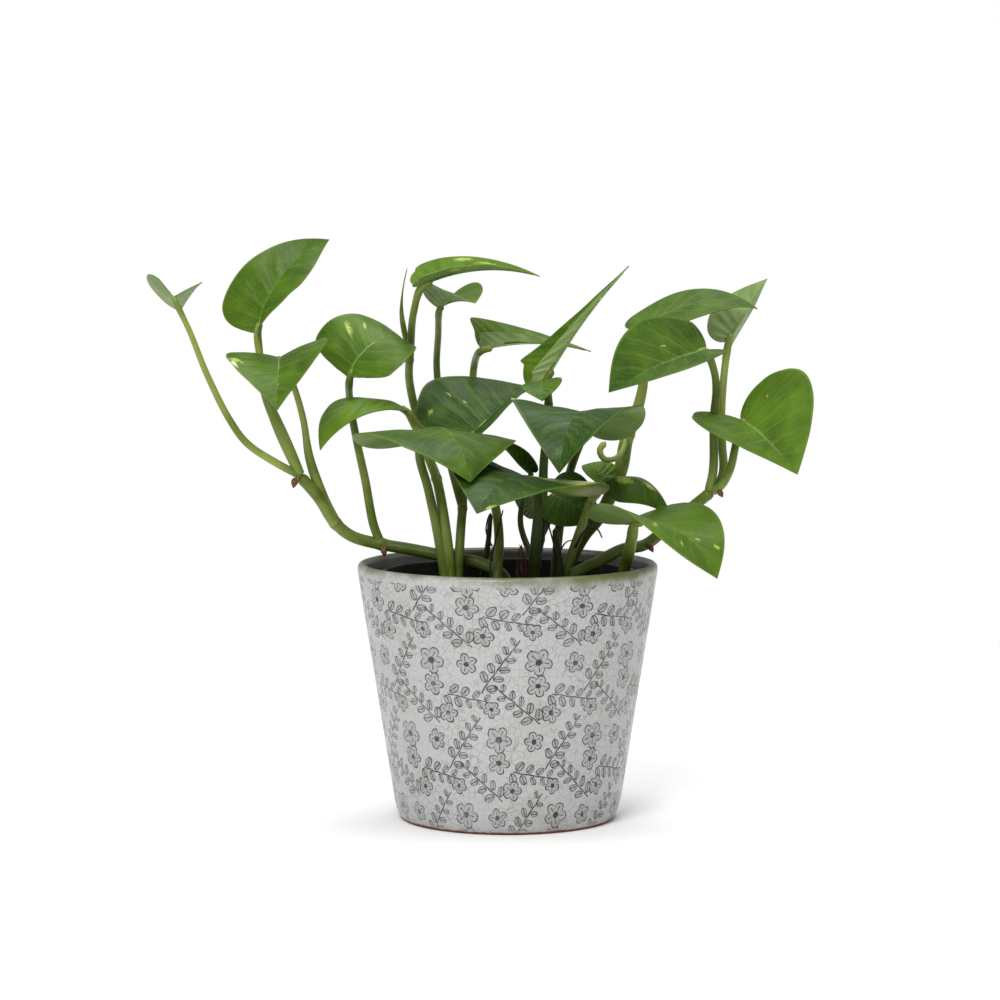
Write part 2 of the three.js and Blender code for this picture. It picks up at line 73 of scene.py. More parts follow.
# The helpers from here to partsOf put their node in the tree of the values that feed it.
def fed(kind, *values, **settings):
    return node(treeOf(values), kind, *values, **settings)


def calc(operation, *values):
    return fed("Math", *values, operation=operation).outputs[0]


def times(a, b):
    return calc("MULTIPLY", a, b)


def over(a, b):
    return calc("DIVIDE", a, b)


def plus(a, b):
    return calc("ADD", a, b)


def minus(a, b):
    return calc("SUBTRACT", a, b)


def vectorCalc(operation, *values):
    return fed("VectorMath", *values, operation=operation).outputs[0]


def distance(x, y):
    return calc("SQRT", plus(times(x, x), times(y, y)))


def turned(x, y, cosine, sine):
    return minus(times(x, cosine), times(y, sine)), plus(times(x, sine), times(y, cosine))


def ramp(value, low, high, start=0.0, end=1.0):
    return fed("MapRange", value, low, high, start, end, interpolation_type="SMOOTHSTEP").outputs[0]


def blend(factor, first, second):
    made = node(factor.id_data, "Mix", data_type="RGBA")
    connectAll(made.inputs, Factor=factor, A=first, B=second)
    return [output for output in made.outputs if output.type == "RGBA"][0]


def tint(colour, mask, strength, other):
    return blend(times(mask, strength), colour, other)


def noiseNode(place, scale, detail=2.0, distortion=0.0):
    made = node(place.id_data, "TexNoise")
    connectAll(made.inputs, Vector=place, Scale=scale, Detail=detail, Distortion=distortion)
    return made


def noiseAt(*values):
    return noiseNode(*values).outputs[0]


def shaken(place, around, scale, amount):
    wobble = noiseNode(around, scale).outputs["Color"]
    return vectorCalc("ADD", place, vectorCalc("MULTIPLY", wobble, amount))


def stretched(place, scale):
    made = fed("Mapping", place)
    made.inputs["Scale"].default_value = scale
    return made.outputs[0]


def partsOf(place):
    return fed("SeparateXYZ", place).outputs


def attribute(tree, name):
    return node(tree, "Attribute", attribute_name=name).outputs["Fac"]


def objectPlace(tree):
    return node(tree, "TexCoord").outputs["Object"]


def newMaterial(name, roughness=0.5, gloss=0.5):
    material = bpy.data.materials.new(name)
    material.use_nodes = True
    shader = material.node_tree.nodes["Principled BSDF"]
    shader.inputs["Roughness"].default_value = roughness
    shader.inputs["Specular IOR Level"].default_value = gloss
    return material, material.node_tree, shader


def finishLook(shader, colour, height, strength, depth, roughness=None):
    connectAll(shader.inputs, Roughness=roughness)
    connect(colour, shader.inputs["Base Color"])
    bump = node(shader.id_data, "Bump")
    connectAll(bump.inputs, Strength=strength, Distance=depth * mm, Height=height)
    connect(bump.outputs[0], shader.inputs["Normal"])


def newGroup(name, places, numbers, results):
    tree = bpy.data.node_groups.new(name, "ShaderNodeTree")
    sockets = [(label, "INPUT", "Vector") for label in places]
    sockets += [(label, "INPUT", "Float") for label in numbers]
    sockets += [(label, "OUTPUT", "Float") for label in results]
    for label, way, kind in sockets:
        tree.interface.new_socket(label, in_out=way, socket_type="NodeSocket" + kind)
    return tree, tree.nodes.new("NodeGroupInput").outputs, tree.nodes.new("NodeGroupOutput").inputs


def useGroup(group, **values):
    made = node(treeOf(values.values()), "Group", node_tree=group)
    connectAll(made.inputs, **values)
    return made.outputs


# Mesh helpers


def finishPiece(name, bm, materials, slot, *nodes):
    bmesh.ops.scale(bm, vec=(mm, mm, mm), verts=bm.verts)
    mesh = bpy.data.meshes.new(name)
    bm.to_mesh(mesh)
    bm.free()
    for material in materials:
        mesh.materials.append(material)
    piece = bpy.data.objects.new(name, mesh)
    bpy.context.scene.collection.objects.link(piece)
    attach(piece, "root")
    if nodes:
        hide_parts(*nodes)
    print(name, len(mesh.polygons), "faces")


def turnedPiece(bm, profile, segments):
    points = [bm.verts.new((radius, 0, height)) for radius, height in profile]
    edges = [bm.edges.new(pair) for pair in zip(points, points[1:])]
    bmesh.ops.spin(
        bm, geom=points + edges, cent=(0, 0, 0), axis=(0, 0, 1), angle=2 * math.pi,
        steps=segments, use_merge=True,
    )
    bmesh.ops.remove_doubles(bm, verts=bm.verts, dist=0.001)
    bmesh.ops.recalc_face_normals(bm, faces=bm.faces)
    for face in bm.faces:
        face.smooth = True


# Leaf blades, with the CAD part's numbers. Only k and n are narrower than there, by 2 and 1 mm,
# so that their finer edges clear the leaves beside them.

outline = {
    "lobeShare": 0.35,
    "lobe": [(0, 0), (0.05, -0.11), (0.4, -0.2), (0.5, 0.17)],
    "side": [(0.5, 0.17), (0.57, 0.5), (0.17, 0.82), (0, 1)],
    "notchCrowding": 2.2,
    "rowBow": 1.2,
    "midribSteps": 60,
}


def blade(base, tip, faces, width, left, right, **more):
    return {"base": base, "tip": tip, "faces": faces, "width": width, "left": left, "right": right, **more}


def stem(leaf, radius, tonesAndShade, *through, **more):
    return {"leaf": leaf, "radius": radius, "tonesAndShade": tonesAndShade, "through": through, **more}


# A blade: base, tip, what its face looks towards, width, and the fold of its left and right half
leaves = {
    "a": blade((-153.9, -12, 243.8), (-153.9, 20, 236.3), (0, 0, 1), 35, 50, 30, leftTip=20, rightTip=55,
        slimRight=0.85, lobe=0.3, full=0.9),
    "b": blade((-116, -5, 227), (-83, 8, 270), (-0.5, -1, 0.2), 43, -8, 66, leftTip=20, rightTip=-10,
        arch=45, sway=-40, lobe=0.1, full=1.2),
    "c": blade((-105, -16, 216), (-104, -50, 194), (0, -0.6, 0.9), 48, 24, 8, arch=50, full=1.4),
    "d": blade((-74, 2, 206), (-45, 29, 217), (-0.5, -0.6, 0.8), 50, 26, -10, leftTip=26, rightTip=-22,
        slimRight=0.95, arch=130, sway=34, lobe=-0.3),
    "e": blade((-46, 2, 190), (-86, -24, 174), (-0.2, -0.15, 1), 38, -20, 0, slimLeft=0.6, slimRight=1.1,
        arch=112, lobe=-0.2, full=0.8),
    "f": blade((-18, 12, 177), (12, 48, 199), (0.2, -0.5, 0.85), 78, -8, 55, slimRight=0.5, arch=40,
        lobe=1.2, full=0.75),
    "f2": blade((16, 0, 204), (16, -14, 196), (-0.1, -0.2, 1), 19, 10, 0, arch=40),
    "g": blade((-40, -8, 178), (-17, -58, 162), (0.2, -0.4, 0.9), 78, -9, -3, arch=100),
    "h": blade((13, -10, 156), (-14, -70, 149), (-0.1, -0.6, 0.9), 80, 6, 12, arch=70),
    "i": blade((37, -12, 182), (23, -58, 166), (-0.15, -0.8, 0.8), 68, 12, 5, slimLeft=0.82, arch=140,
        full=1.15),
    "j": blade((45, -3, 159), (76, -6, 140), (0.6, -0.5, 0.7), 50, -26, -45, curlRight=-40, slimLeft=0.7,
        slimRight=0.48, arch=112, lobe=0.4),
    "k": blade((58, -30, 141), (94, -62, 119), (0.25, -0.45, 1), 52, 8, 34, rightTip=0, arch=80, lobe=2.5,
        full=0.85),
    "l": blade((109, 5, 186), (133, -25, 163), (0.3, -0.6, 0.8), 70, 46, 14, arch=20, lobe=1.5, full=1.2),
    "m": blade((92, 0, 219), (46, -30, 201), (-0.1, -0.5, 1), 46, 18, 38, arch=20, lobe=0.5, full=0.7),
    "n": blade((62, 22, 229), (118, 28, 237), (0, -0.25, 1), 35, 5, -5, arch=60, late=2, full=0.75),
    "o": blade((105, 34, 222), (124, 48, 251), (0, 1, 0), 28, 75, 10, arch=20),
    "p": blade((17.5, 5, 204.5), (56, -5, 258), (-1, 0, 0.7), 40, 52, 85, leftTip=24, rightTip=85,
        slimLeft=0.9, slimRight=0.37, arch=14, lobe=1.1, full=3.2),
    "q": blade((-12, 34, 218), (40, 50, 216), (0, 0.3, 1), 36, 75, 80, leftTip=50, rightTip=80,
        slimLeft=0.95, slimRight=0.42, arch=30, lobe=0.3, full=2.8),
    "r": blade((-40, 5, 249), (15, 5, 253), (0, 0.1, 1), 34, 66, 20, slimLeft=0.6, slimRight=0.5, arch=42,
        lobe=0.8, full=1.7),
    "s": blade((-32, 20, 238), (-15, -8, 241), (-0.1, -0.1, 1), 29, 28, 56, leftTip=5, rightTip=25,
        slimLeft=1.25, arch=30, lobe=0.6),
    "u": blade((11, 8, 162), (-3, 14, 175), (0.2, -1, 0.2), 14, 60, 60, arch=40),
    "w": blade((46, 4, 158), (35, 13, 164), (0.1, -0.3, 1), 20, 10, 10, arch=60),
    "x": blade((21, 6, 151), (43, 4, 139), (0.1, -1, 0.4), 28, 10, 10, arch=40),
    "y": blade((13, 20, 142), (3, 22, 148), (0.3, 1, 0.6), 14, 10, 10, arch=20),
}

# A stalk runs from its thick end to its thin end, and one with a leaf goes on into its blade.
# It gives its leaf, radii, tones from -1 (dark, painted shade) to 1 (yellow), and the points it runs through.
# The dark tones are painted shade on the lower stalks that stand in shade near the middle of the pot.
stalks = {
    "vine_left": [
        stem(None, (3, 2.7), (-0.5, -0.2), (4, -2, 80), (3, -1, 100), (-3, 1, 114), (-13, 4, 119),
            (-24, 6, 121), (-46, 10, 125), (-59, 12, 127), (-73, 10, 131), (-81, 6, 138), (-88, 0, 150),
            (-97, -4, 161)),
        stem("a", (1.9, 1.2), (0, 0.3), (-95, -4, 160), (-108, -5, 167), (-121, -6, 176), (-129, -6, 187),
            (-139, -9, 208), (-147, -12, 229)),
        stem("b", (2.2, 1.6), (0.6, 0.3), (-96, -4, 160), (-108, -3, 187), (-113, -4, 200),
            (-115, -5, 218), sheath=(0, 0.55, 0.5)),
        stem("c", (2, 1.3), (0.2, 0.2), (-80, 6, 138), (-86, 2, 150), (-92, -2, 168), (-95, -6, 188),
            (-100, -12, 206), sheath=(0, 0.5, 0.35)),
        stem("d", (2.2, 1.6), (0, 0.1), (-59, 12, 126), (-63, 13, 136), (-67, 16, 157), (-71, 19, 175),
            (-74, 17, 193)),
    ],
    "vine_right": [
        stem(None, (3, 2.6), (-0.7, -0.2), (17, -4, 80), (20, -3, 100), (28, 0, 112), (43, 4, 120),
            (54, 9, 125), (65, 12, 127), (76, 12, 136), (89, 8, 147), (96, 5, 153)),
        stem("l", (2.2, 1.6), (0, 0.1), (95, 6, 152), (100, 3, 156), (104, 2, 164), (106, 2, 173)),
        stem("m", (2.2, 1.6), (0, 0.1), (94, 6, 152), (96, 3, 163), (96, 2, 187), (97, 1, 200),
            (96, 0, 209)),
        stem("o", (2.2, 1.6), (0, 0.1), (96, 8, 152), (101, 12, 160), (101, 18, 174), (101, 24, 188),
            (103, 32, 209)),
        stem("j", (2.3, 1.7), (-0.4, 0), (24, -2, 108), (28, -4, 119), (32, -7, 131), (39, -7, 150)),
        stem("w", (1.6, 1.2), (0.5, 0.5), (38, -7, 148), (43, 0, 153)),
        stem(None, (3.2, 1.4), (-1, -0.9), (21, -6, 95), (24, -7, 113), (23, -7, 127), (22, -8, 137)),
    ],
    "shoot_left": [
        stem("g", (2.6, 1.9), (-0.6, 0), (-26, -6, 80), (-28, -6, 104), (-32, -6, 131), (-37, -6, 155),
            (-41, -5, 170)),
        stem("r", (2.7, 1.6), (-0.4, 0.6), (-24, -7, 80), (-26, -7, 110), (-29, -6, 137), (-33, 3, 158),
            (-38, 24, 169), (-41, 38, 179), (-45, 45, 192), (-47, 44, 204), (-46, 34, 218),
            (-44, 14, 236)),
        stem("e", (2, 1.6), (0.3, 0.3), (-33, 4, 158), (-38, 7, 170), (-43, 7, 182)),
        stem("q", (2.4, 1.6), (-0.6, 0.2), (-22, -6, 80), (-23, -6, 110), (-22, -4, 133), (-21, 6, 147),
            (-21, 22, 164), (-19, 40, 182), (-17, 53, 197), (-16, 55, 209)),
        stem("s", (1.9, 1.5), (-0.5, -0.3), (-21, 4, 144), (-27, 16, 165), (-31, 36, 182), (-33, 51, 197),
            (-34, 53, 209), (-33, 40, 224)),
        stem(None, (1.3, 0.4), (0.1, 0), (-47, 39, 212), (-48, 33, 221), (-50, 25, 236), (-49, 21, 248),
            (-47, 19, 257), spindle=True),
    ],
    "shoot_back": [
        stem("f", (2.6, 1.9), (-0.7, -0.1), (-4, -10, 80), (-5, -9, 112), (-4, 1, 130), (-6, 12, 146),
            (-12, 17, 165)),
    ],
    "shoot_center": [
        stem("h", (3, 2.1), (-1, -0.6), (11, -9, 80), (12, -10, 113), (13, -12, 131), (14, -12, 145)),
        stem("p", (2.6, 1.7), (-1, -0.3), (12, -9, 109), (13, -4, 120), (16, 4, 139), (17, 7, 167),
            (19, 6, 186), (19, 5, 196)),
        stem("f2", (1.2, 0.9), (0, 0), (20, 5, 193), (18, 3, 200)),
        stem("x", (1.6, 1.3), (-0.5, -0.3), (15, 4, 130), (20, 6, 141)),
        stem("y", (1.5, 1.1), (0, 0.2), (13, -3, 122), (16, 11, 131)),
        stem("u", (1.6, 1.1), (-0.7, -0.5), (12, -10, 121), (6, 4, 138), (8, 8, 152)),
    ],
    "shoot_dark": [
        stem("i", (2.4, 1.8), (-0.8, -0.2), (22, 11, 80), (22, 12, 108), (25, 15, 139), (29, 13, 160),
            (34, -2, 176)),
    ],
    "shoot_right": [
        stem("n", (3.2, 1.7), (-0.6, 0.2), (24, 20, 80), (26, 20, 108), (36, 18, 130), (43, 17, 139),
            (53, 17, 161), (56, 17, 176), (61, 18, 190), (64, 20, 204), (63, 22, 218),
            sheath=(0.3, 0.85, 0.45)),
        stem(None, (1, 1.6), (0.7, 0.9), (56, 16, 179), (54, 9, 172), (50, 4, 168), (45, 3, 168),
            (43, 4, 172), (46, 5, 176)),
    ],
    "shoot_front": [
        stem("k", (2.3, 1.7), (-0.3, 0.5), (47, -5, 80), (51, -7, 104), (54, -10, 117), (56, -20, 127),
            (57, -27, 134), sheath=(0.4, 1, 0.5)),
    ],
    "spur": [
        stem(None, (1.8, 1.1), (-0.9, -0.8), (-13, 14, 85), (-12, 14, 110), (-9, 13, 129), (-8, 13, 142)),
    ],
}

# Tone of each blade, from -1 (deep) to 1 (fresh); the low tones of f and h are painted shade, darkening
# blades that lie in shadow.
leafTonesAndShade = {
    "a": 0.2, "b": 0, "c": 0.1, "d": 0.1, "e": 0.6, "f": -0.95, "f2": 0.1, "g": -0.35, "h": -1.2,
    "i": -1.5, "j": -0.2, "k": 0.45, "l": 0.4, "m": -0.3, "n": -0.1, "o": -0.2, "p": 0.2, "q": 0.4,
    "r": 1.1, "s": 0.8, "u": -1, "w": 0.6, "x": -0.7, "y": 0.3,
}
# Marks on a blade: kind, side and row of the centre, reach towards the side and along the rows
leafMarks = {
    "c": [("gold", 0.87, 0.5, 0.16, 0.05), ("cream", 0.95, 0.56, 0.08, 0.06)],
    "d": [
        ("gold", -0.62, 0.54, 0.3, 0.022), ("gold", -0.6, 0.64, 0.2, 0.018),
        ("brown", 0.99, 0.66, 0.06, 0.03), ("brown", -1, 0.7, 0.035, 0.1),
    ],
    "f": [("gold", -0.75, 0.3, 0.06, 0.016), ("gold", -0.66, 0.46, 0.06, 0.015)],
    "g": [
        ("brown", 0.4, 0.855, 0.13, 0.018), ("brown", 0.55, 0.71, 0.08, 0.016),
        ("brown", -0.32, 0.86, 0.05, 0.014), ("gold", -0.1, 0.45, 0.07, 0.014),
    ],
    "h": [
        ("gold", -0.5, 0.59, 0.3, 0.05), ("gold", -0.85, 0.55, 0.3, 0.09), ("cream", -0.85, 0.5, 0.2, 0.08),
        ("gold", -0.72, 0.28, 0.5, 0.14), ("cream", -0.85, 0.27, 0.3, 0.1), ("gold", -0.95, 0.93, 0.2, 0.03),
        ("brown", 0.3, 0.78, 0.04, 0.014), ("brown", 0.1, 0.66, 0.04, 0.013),
    ],
    "i": [("cream", 1, 0.46, 0.1, 0.1), ("gold", 0.94, 0.47, 0.16, 0.09)],
    "j": [("gold", 0.14, 0.5, 0.22, 0.14), ("gold", -0.04, 0.74, 0.3, 0.07)],
    "k": [
        ("gold", 0.6, 0.56, 0.2, 0.018), ("gold", 0.62, 0.73, 0.14, 0.016),
        ("gold", -0.3, 0.79, 0.12, 0.014), ("gold", -0.8, 0.79, 0.13, 0.02),
    ],
    "r": [
        ("gold", -0.8, 0.62, 0.16, 0.07), ("gold", -0.56, 0.74, 0.13, 0.08), ("gold", 0.6, 0.57, 0.28, 0.05),
    ],
}
fleckLook = {
    "seed": 7, "most": 2, "sides": (-0.8, 0.8), "rows": (0.25, 0.85), "reach": (0.03, 0.07),
    "depth": (0.01, 0.014),
}
bladeLook = {
    "rows": 56, "columns": 32, "thickness": 0.5, "ripple": 0.22, "ripples": 17, "swell": 0.7, "swellSize": 12,
    "closeLeaves": "jkmn", "closeShare": 0.15,  # these lie near another stem's leaf
}
midribLook = {"share": 0.014, "sunk": 0.4, "steps": 24, "reach": 0.96, "taper": 0.8, "sides": 8}
stalkLook = {
    "sides": 16, "step": 1.6, "sink": 0.4, "intoBlade": 0.1, "knuckle": 0.15, "knuckleBack": 9,
    "knuckleLong": 4, "ring": 0.16, "ringReach": 6, "ringLong": 1.5, "brown": 0.62, "brownLong": 0.9,
}
spindleLook = {"thin": 0.55, "belly": 0.9, "early": 1.25, "ease": 1.5}
scaleLook = {"radius": 1.1, "sag": 0.6, "step": 0.5, "sides": 10, "blunt": 0.15}


def bezier(points, t):
    weights = ((1 - t) ** 3, 3 * t * (1 - t) ** 2, 3 * t * t * (1 - t), t ** 3)
    return [sum(weight * point[k] for weight, point in zip(weights, points)) for k in (0, 1)]


def marginPoint(leaf, share):
    lobeShare = outline["lobeShare"]
    if share < lobeShare:
        depth = leaf.get("lobe", 1)
        controls = [(x, y * depth if y < 0 else y) for x, y in outline["lobe"]]
        x, y = bezier(controls, share / lobeShare)
    else:
        x, y = bezier(outline["side"], (share - lobeShare) / (1 - lobeShare))
    return x, y ** leaf.get("full", 1) if y > 0 else y


def bladeFrame(leaf):
    base = Vector(leaf["base"])
    tip = Vector(leaf["tip"])
    forward = (tip - base).normalized()
    normal = Vector(leaf["faces"])
    normal = (normal - forward * normal.dot(forward)).normalized()
    across = forward.cross(normal)
    arch = math.radians(leaf.get("arch", 0))
    sway = math.radians(leaf.get("sway", 0))
    late = leaf.get("late", 1)
    steps = outline["midribSteps"]
    bends = [arch * (i / steps) ** late for i in range(steps + 1)]
    start = math.atan2(sum(math.sin(bend) for bend in bends), sum(math.cos(bend) for bend in bends))

    def axesAt(u):
        pitch = start - arch * u ** late
        turn = sway / 2 - sway * u
        ahead = Vector((math.sin(turn), math.cos(turn), 0))
        direction = ahead * math.cos(pitch) + Vector((0, 0, math.sin(pitch)))
        up = Vector((0, 0, math.cos(pitch))) - ahead * math.sin(pitch)
        return direction, up

    midrib = [Vector()]
    for i in range(steps):
        midrib.append(midrib[-1] + axesAt((i + 0.5) / steps)[0] / steps)
    length = (tip - base).length / midrib[-1].length

    def midribAt(u):
        i = min(int(u * steps), steps - 1)
        return midrib[i].lerp(midrib[i + 1], u * steps - i) * length

    def toWorld(local):
        return base + across * local.x + forward * local.y + normal * local.z

    return {"length": length, "axesAt": axesAt, "midribAt": midribAt, "toWorld": toWorld}


def underMidrib(shape, u, depth):
    return shape["toWorld"](shape["midribAt"](u) - shape["axesAt"](u)[1] * depth)


def bladePoint(leaf, shape, margin, row, side):
    spine = row ** outline["notchCrowding"]
    along = spine + (margin[1] - spine) * abs(side) ** outline["rowBow"]
    u = min(max(along, 0), 1)
    half = "Left" if side < 0 else "Right"
    atNotch = leaf[half.lower()]
    atTip = leaf.get(half.lower() + "Tip", atNotch)
    fold = math.radians(atNotch + (atTip - atNotch) * u)
    curl = math.radians(leaf.get("curl" + half, 0)) + 1e-6  # never quite flat, so that it can divide
    reach = margin[0] * abs(side) * leaf["width"] * leaf.get("slim" + half, 1)
    bend = curl / (leaf["width"] / 2)
    outward = (math.sin(fold + bend * reach) - math.sin(fold)) / bend
    upward = (math.cos(fold) - math.cos(fold + bend * reach)) / bend
    direction, up = shape["axesAt"](u)
    local = shape["midribAt"](u) + direction * min(along, 0) * shape["length"]
    local += direction.cross(up) * math.copysign(outward, side) + up * upward
    return shape["toWorld"](local)


def randomFlecks(name):
    dice = random.Random(fleckLook["seed"] + sum(map(ord, name)))
    ranges = [fleckLook[key] for key in ("sides", "rows", "reach", "depth")]
    count = dice.randint(0, fleckLook["most"])
    return [("gold", *(dice.uniform(*limits) for limits in ranges)) for k in range(count)]


def addBlade(bm, name):
    leaf = leaves[name]
    shape = bladeFrame(leaf)
    facing = bm.verts.layers.float_vector["facing"]
    toneAndShade = bm.verts.layers.float["toneAndShade"]
    verts = bmesh.ops.create_grid(
        bm, x_segments=bladeLook["columns"], y_segments=bladeLook["rows"], size=0.5, calc_uvs=True,
    )["verts"]
    faces = list({face for vert in verts for face in vert.link_faces})
    places = {vert: (2 * vert.co.x, min(max(vert.co.y + 0.5, 0), 1)) for vert in verts}
    margins = {row: marginPoint(leaf, row) for row in {row for side, row in places.values()}}
    for vert, (side, row) in places.items():
        vert.co = bladePoint(leaf, shape, margins[row], row, side)
    bm.normal_update()
    seed = Vector((sum(map(ord, name)), 0, 0))
    liveliness = bladeLook["closeShare"] if name in bladeLook["closeLeaves"] else 1
    for vert, (side, row) in places.items():
        calm = min(1, 4 * row * (1 - row)) * liveliness
        wave = math.sin(math.pi * bladeLook["ripples"] * row) * math.sin(math.pi * abs(side))
        swell = noise.noise(vert.co / bladeLook["swellSize"] + seed)
        vert.co += vert.normal * calm * (bladeLook["ripple"] * wave + bladeLook["swell"] * swell)
    for kind, atSide, atRow, reach, depth in leafMarks.get(name, []) + randomFlecks(name):
        layer = bm.verts.layers.float[kind]
        for vert, (side, row) in places.items():
            near = 1 - ((side - atSide) / reach) ** 2 - ((row - atRow) / depth) ** 2
            vert[layer] = max(vert[layer], near)
    bmesh.ops.remove_doubles(bm, verts=[v for v, (side, row) in places.items() if row in (0, 1)], dist=0.01)
    faces = [face for face in faces if face.is_valid]
    bm.normal_update()
    half = bladeLook["thickness"] / 2
    for vert in {vert for face in faces for vert in face.verts}:
        vert[facing] = vert.normal
        vert[toneAndShade] = leafTonesAndShade[name]
        vert.co -= vert.normal * half
    copied = bmesh.ops.extrude_face_region(bm, geom=faces, use_keep_orig=True)["geom"]
    upper = [item for item in copied if isinstance(item, bmesh.types.BMVert)]
    upperFaces = {item for item in copied if isinstance(item, bmesh.types.BMFace)}
    for vert in upper:
        vert.co += vert[facing] * 2 * half
    whole = {face for vert in upper for face in vert.link_faces} | set(faces)
    for face in whole:
        face.smooth = True
        face.material_index = 0 if face in upperFaces else 1
    for face in whole - upperFaces - set(faces):
        face.material_index = 0
        for edge in face.edges:
            edge.smooth = False
    bmesh.ops.recalc_face_normals(bm, faces=list(whole))


def stalkRoute(stalk):
    points = [Vector(place) for place in stalk["through"]]
    if stalk["leaf"]:
        shape = bladeFrame(leaves[stalk["leaf"]])
        depth = stalkLook["sink"] * stalk["radius"][1]
        points += [underMidrib(shape, u, depth) for u in (0, stalkLook["intoBlade"])]
    return points


def smoothRoute(points, step):
    padded = [2 * points[0] - points[1]] + points + [2 * points[-1] - points[-2]]
    fine = [points[0]]
    pieces = 12
    for p0, p1, p2, p3 in zip(padded, padded[1:], padded[2:], padded[3:]):
        d0, d1, d2 = ((b - a).length ** 0.5 for a, b in ((p0, p1), (p1, p2), (p2, p3)))
        t1 = ((p1 - p0) / d0 - (p2 - p0) / (d0 + d1) + (p2 - p1) / d1) * d1
        t2 = ((p2 - p1) / d1 - (p3 - p1) / (d1 + d2) + (p3 - p2) / d2) * d1
        for k in range(1, pieces + 1):
            t = k / pieces
            curve = (3 * (p2 - p1) - 2 * t1 - t2) * t ** 2 + (2 * (p1 - p2) + t1 + t2) * t ** 3
            fine.append(p1 + t1 * t + curve)
    lengths = [0]
    for a, b in zip(fine, fine[1:]):
        lengths.append(lengths[-1] + (b - a).length)
    count = max(6, round(lengths[-1] / step))
    route = []
    k = 0
    for i in range(count + 1):
        wanted = lengths[-1] * i / count
        while k < len(fine) - 2 and lengths[k + 1] < wanted:
            k += 1
        route.append(fine[k].lerp(fine[k + 1], (wanted - lengths[k]) / (lengths[k + 1] - lengths[k])))
    return route, lengths[-1]


def addTube(bm, route, length, radiusAt, sides, materialIndex, tonesAndShade=(0, 0), brownAt=None):
    count = len(route) - 1
    grid = bmesh.ops.create_grid(bm, x_segments=sides, y_segments=count, size=0.5, calc_uvs=True)
    verts = grid["verts"]
    toneAndShade, brown = bm.verts.layers.float["toneAndShade"], bm.verts.layers.float["brown"]
    faces = list({face for vert in verts for face in vert.link_faces})
    tangents = [(route[min(i + 1, count)] - route[max(i - 1, 0)]).normalized() for i in range(count + 1)]
    out = tangents[0].orthogonal().normalized()
    frames = []
    for tangent in tangents:
        out = (out - tangent * out.dot(tangent)).normalized()
        frames.append((out, tangent.cross(out)))
    for vert in verts:
        i = round((vert.co.y + 0.5) * count)
        angle = 2 * math.pi * (vert.co.x + 0.5)
        first, second = frames[i]
        out = first * math.cos(angle) + second * math.sin(angle)
        vert.co = route[i] + out * (radiusAt(i / count, out) if 0 < i < count else 0)
        vert[toneAndShade] = tonesAndShade[0] + (tonesAndShade[1] - tonesAndShade[0]) * i / count
        vert[brown] = brownAt(i / count) if brownAt else 0
    uv = bm.loops.layers.uv.active
    for face in faces:
        face.smooth = True
        face.material_index = materialIndex
        for loop in face.loops:
            loop[uv].uv.y *= length / 10  # centimetres along the stalk
    bmesh.ops.remove_doubles(bm, verts=verts, dist=0.005)
    bmesh.ops.recalc_face_normals(bm, faces=[face for face in faces if face.is_valid])


def ringPlaces(route, plantStalks):
    found = []
    for other in plantStalks:
        start = Vector(other["through"][0])
        k = min(range(len(route)), key=lambda i: (route[i] - start).length)
        if 3 < k and (route[k] - start).length < stalkLook["ringReach"]:
            found.append(k / (len(route) - 1))
    return found


def addStalk(bm, stalk, plantStalks):
    route, length = smoothRoute(stalkRoute(stalk), stalkLook["step"])
    root, end = stalk["radius"]
    knuckle = stalkLook["knuckle"] if stalk["leaf"] else 0
    rings = ringPlaces(route, plantStalks)
    sheathStart, sheathEnd, sheathWidth = stalk.get("sheath", (0, 0.01, 0))

    def nearRing(t, reach):
        return max((math.exp(-((t - ring) * length / reach) ** 2) for ring in rings), default=0)

    def radiusAt(t, out):
        toEnd = (1 - t) * length
        swelling = knuckle * math.exp(-((toEnd - stalkLook["knuckleBack"]) / stalkLook["knuckleLong"]) ** 2)
        rounding = math.sqrt(max(0.1, min(1, toEnd / end)))
        share = min(max((t - sheathStart) / (sheathEnd - sheathStart), 0), 1)
        sheath = sheathWidth * math.sin(math.pi * share) * out.x ** 2
        ring = stalkLook["ring"] * nearRing(t, stalkLook["ringLong"])
        spindle = 1
        if stalk.get("spindle"):
            belly = math.sin(math.pi * min(1, spindleLook["early"] * t)) ** spindleLook["ease"]
            spindle = spindleLook["thin"] + spindleLook["belly"] * belly
        return (root + (end - root) * t) * (1 + swelling + sheath + ring) * rounding * spindle

    def brownAt(t):
        return stalkLook["brown"] * nearRing(t, stalkLook["brownLong"])

    addTube(bm, route, length, radiusAt, stalkLook["sides"], 2, stalk["tonesAndShade"], brownAt)


def addScale(bm, place, ending):
    middle = (Vector(place) + Vector(ending)) / 2 + Vector((0, -scaleLook["sag"], 0))
    route, length = smoothRoute([Vector(place), middle, Vector(ending)], scaleLook["step"])

    def radiusAt(t, out):
        bulge = math.sin(math.pi * (scaleLook["blunt"] + (1 - scaleLook["blunt"]) * t))
        return scaleLook["radius"] * bulge * (0.5 + abs(out.x))

    addTube(bm, route, length, radiusAt, scaleLook["sides"], 2, (-1, -1), lambda t: 1)


def addMidrib(bm, name):
    leaf = leaves[name]
    shape = bladeFrame(leaf)
    thick = leaf["width"] * midribLook["share"]
    under = max(bladeLook["thickness"] / 2, thick - bladeLook["thickness"] * midribLook["sunk"])
    steps = midribLook["steps"]
    route = [underMidrib(shape, midribLook["reach"] * i / steps, under) for i in range(steps + 1)]
    length = sum((b - a).length for a, b in zip(route, route[1:]))
    addTube(bm, route, length, lambda t, out: thick * (1 - midribLook["taper"] * t), midribLook["sides"], 1)


# Leaf and stalk finishes. The last two lines of leafFinish say how strongly each mask shows.

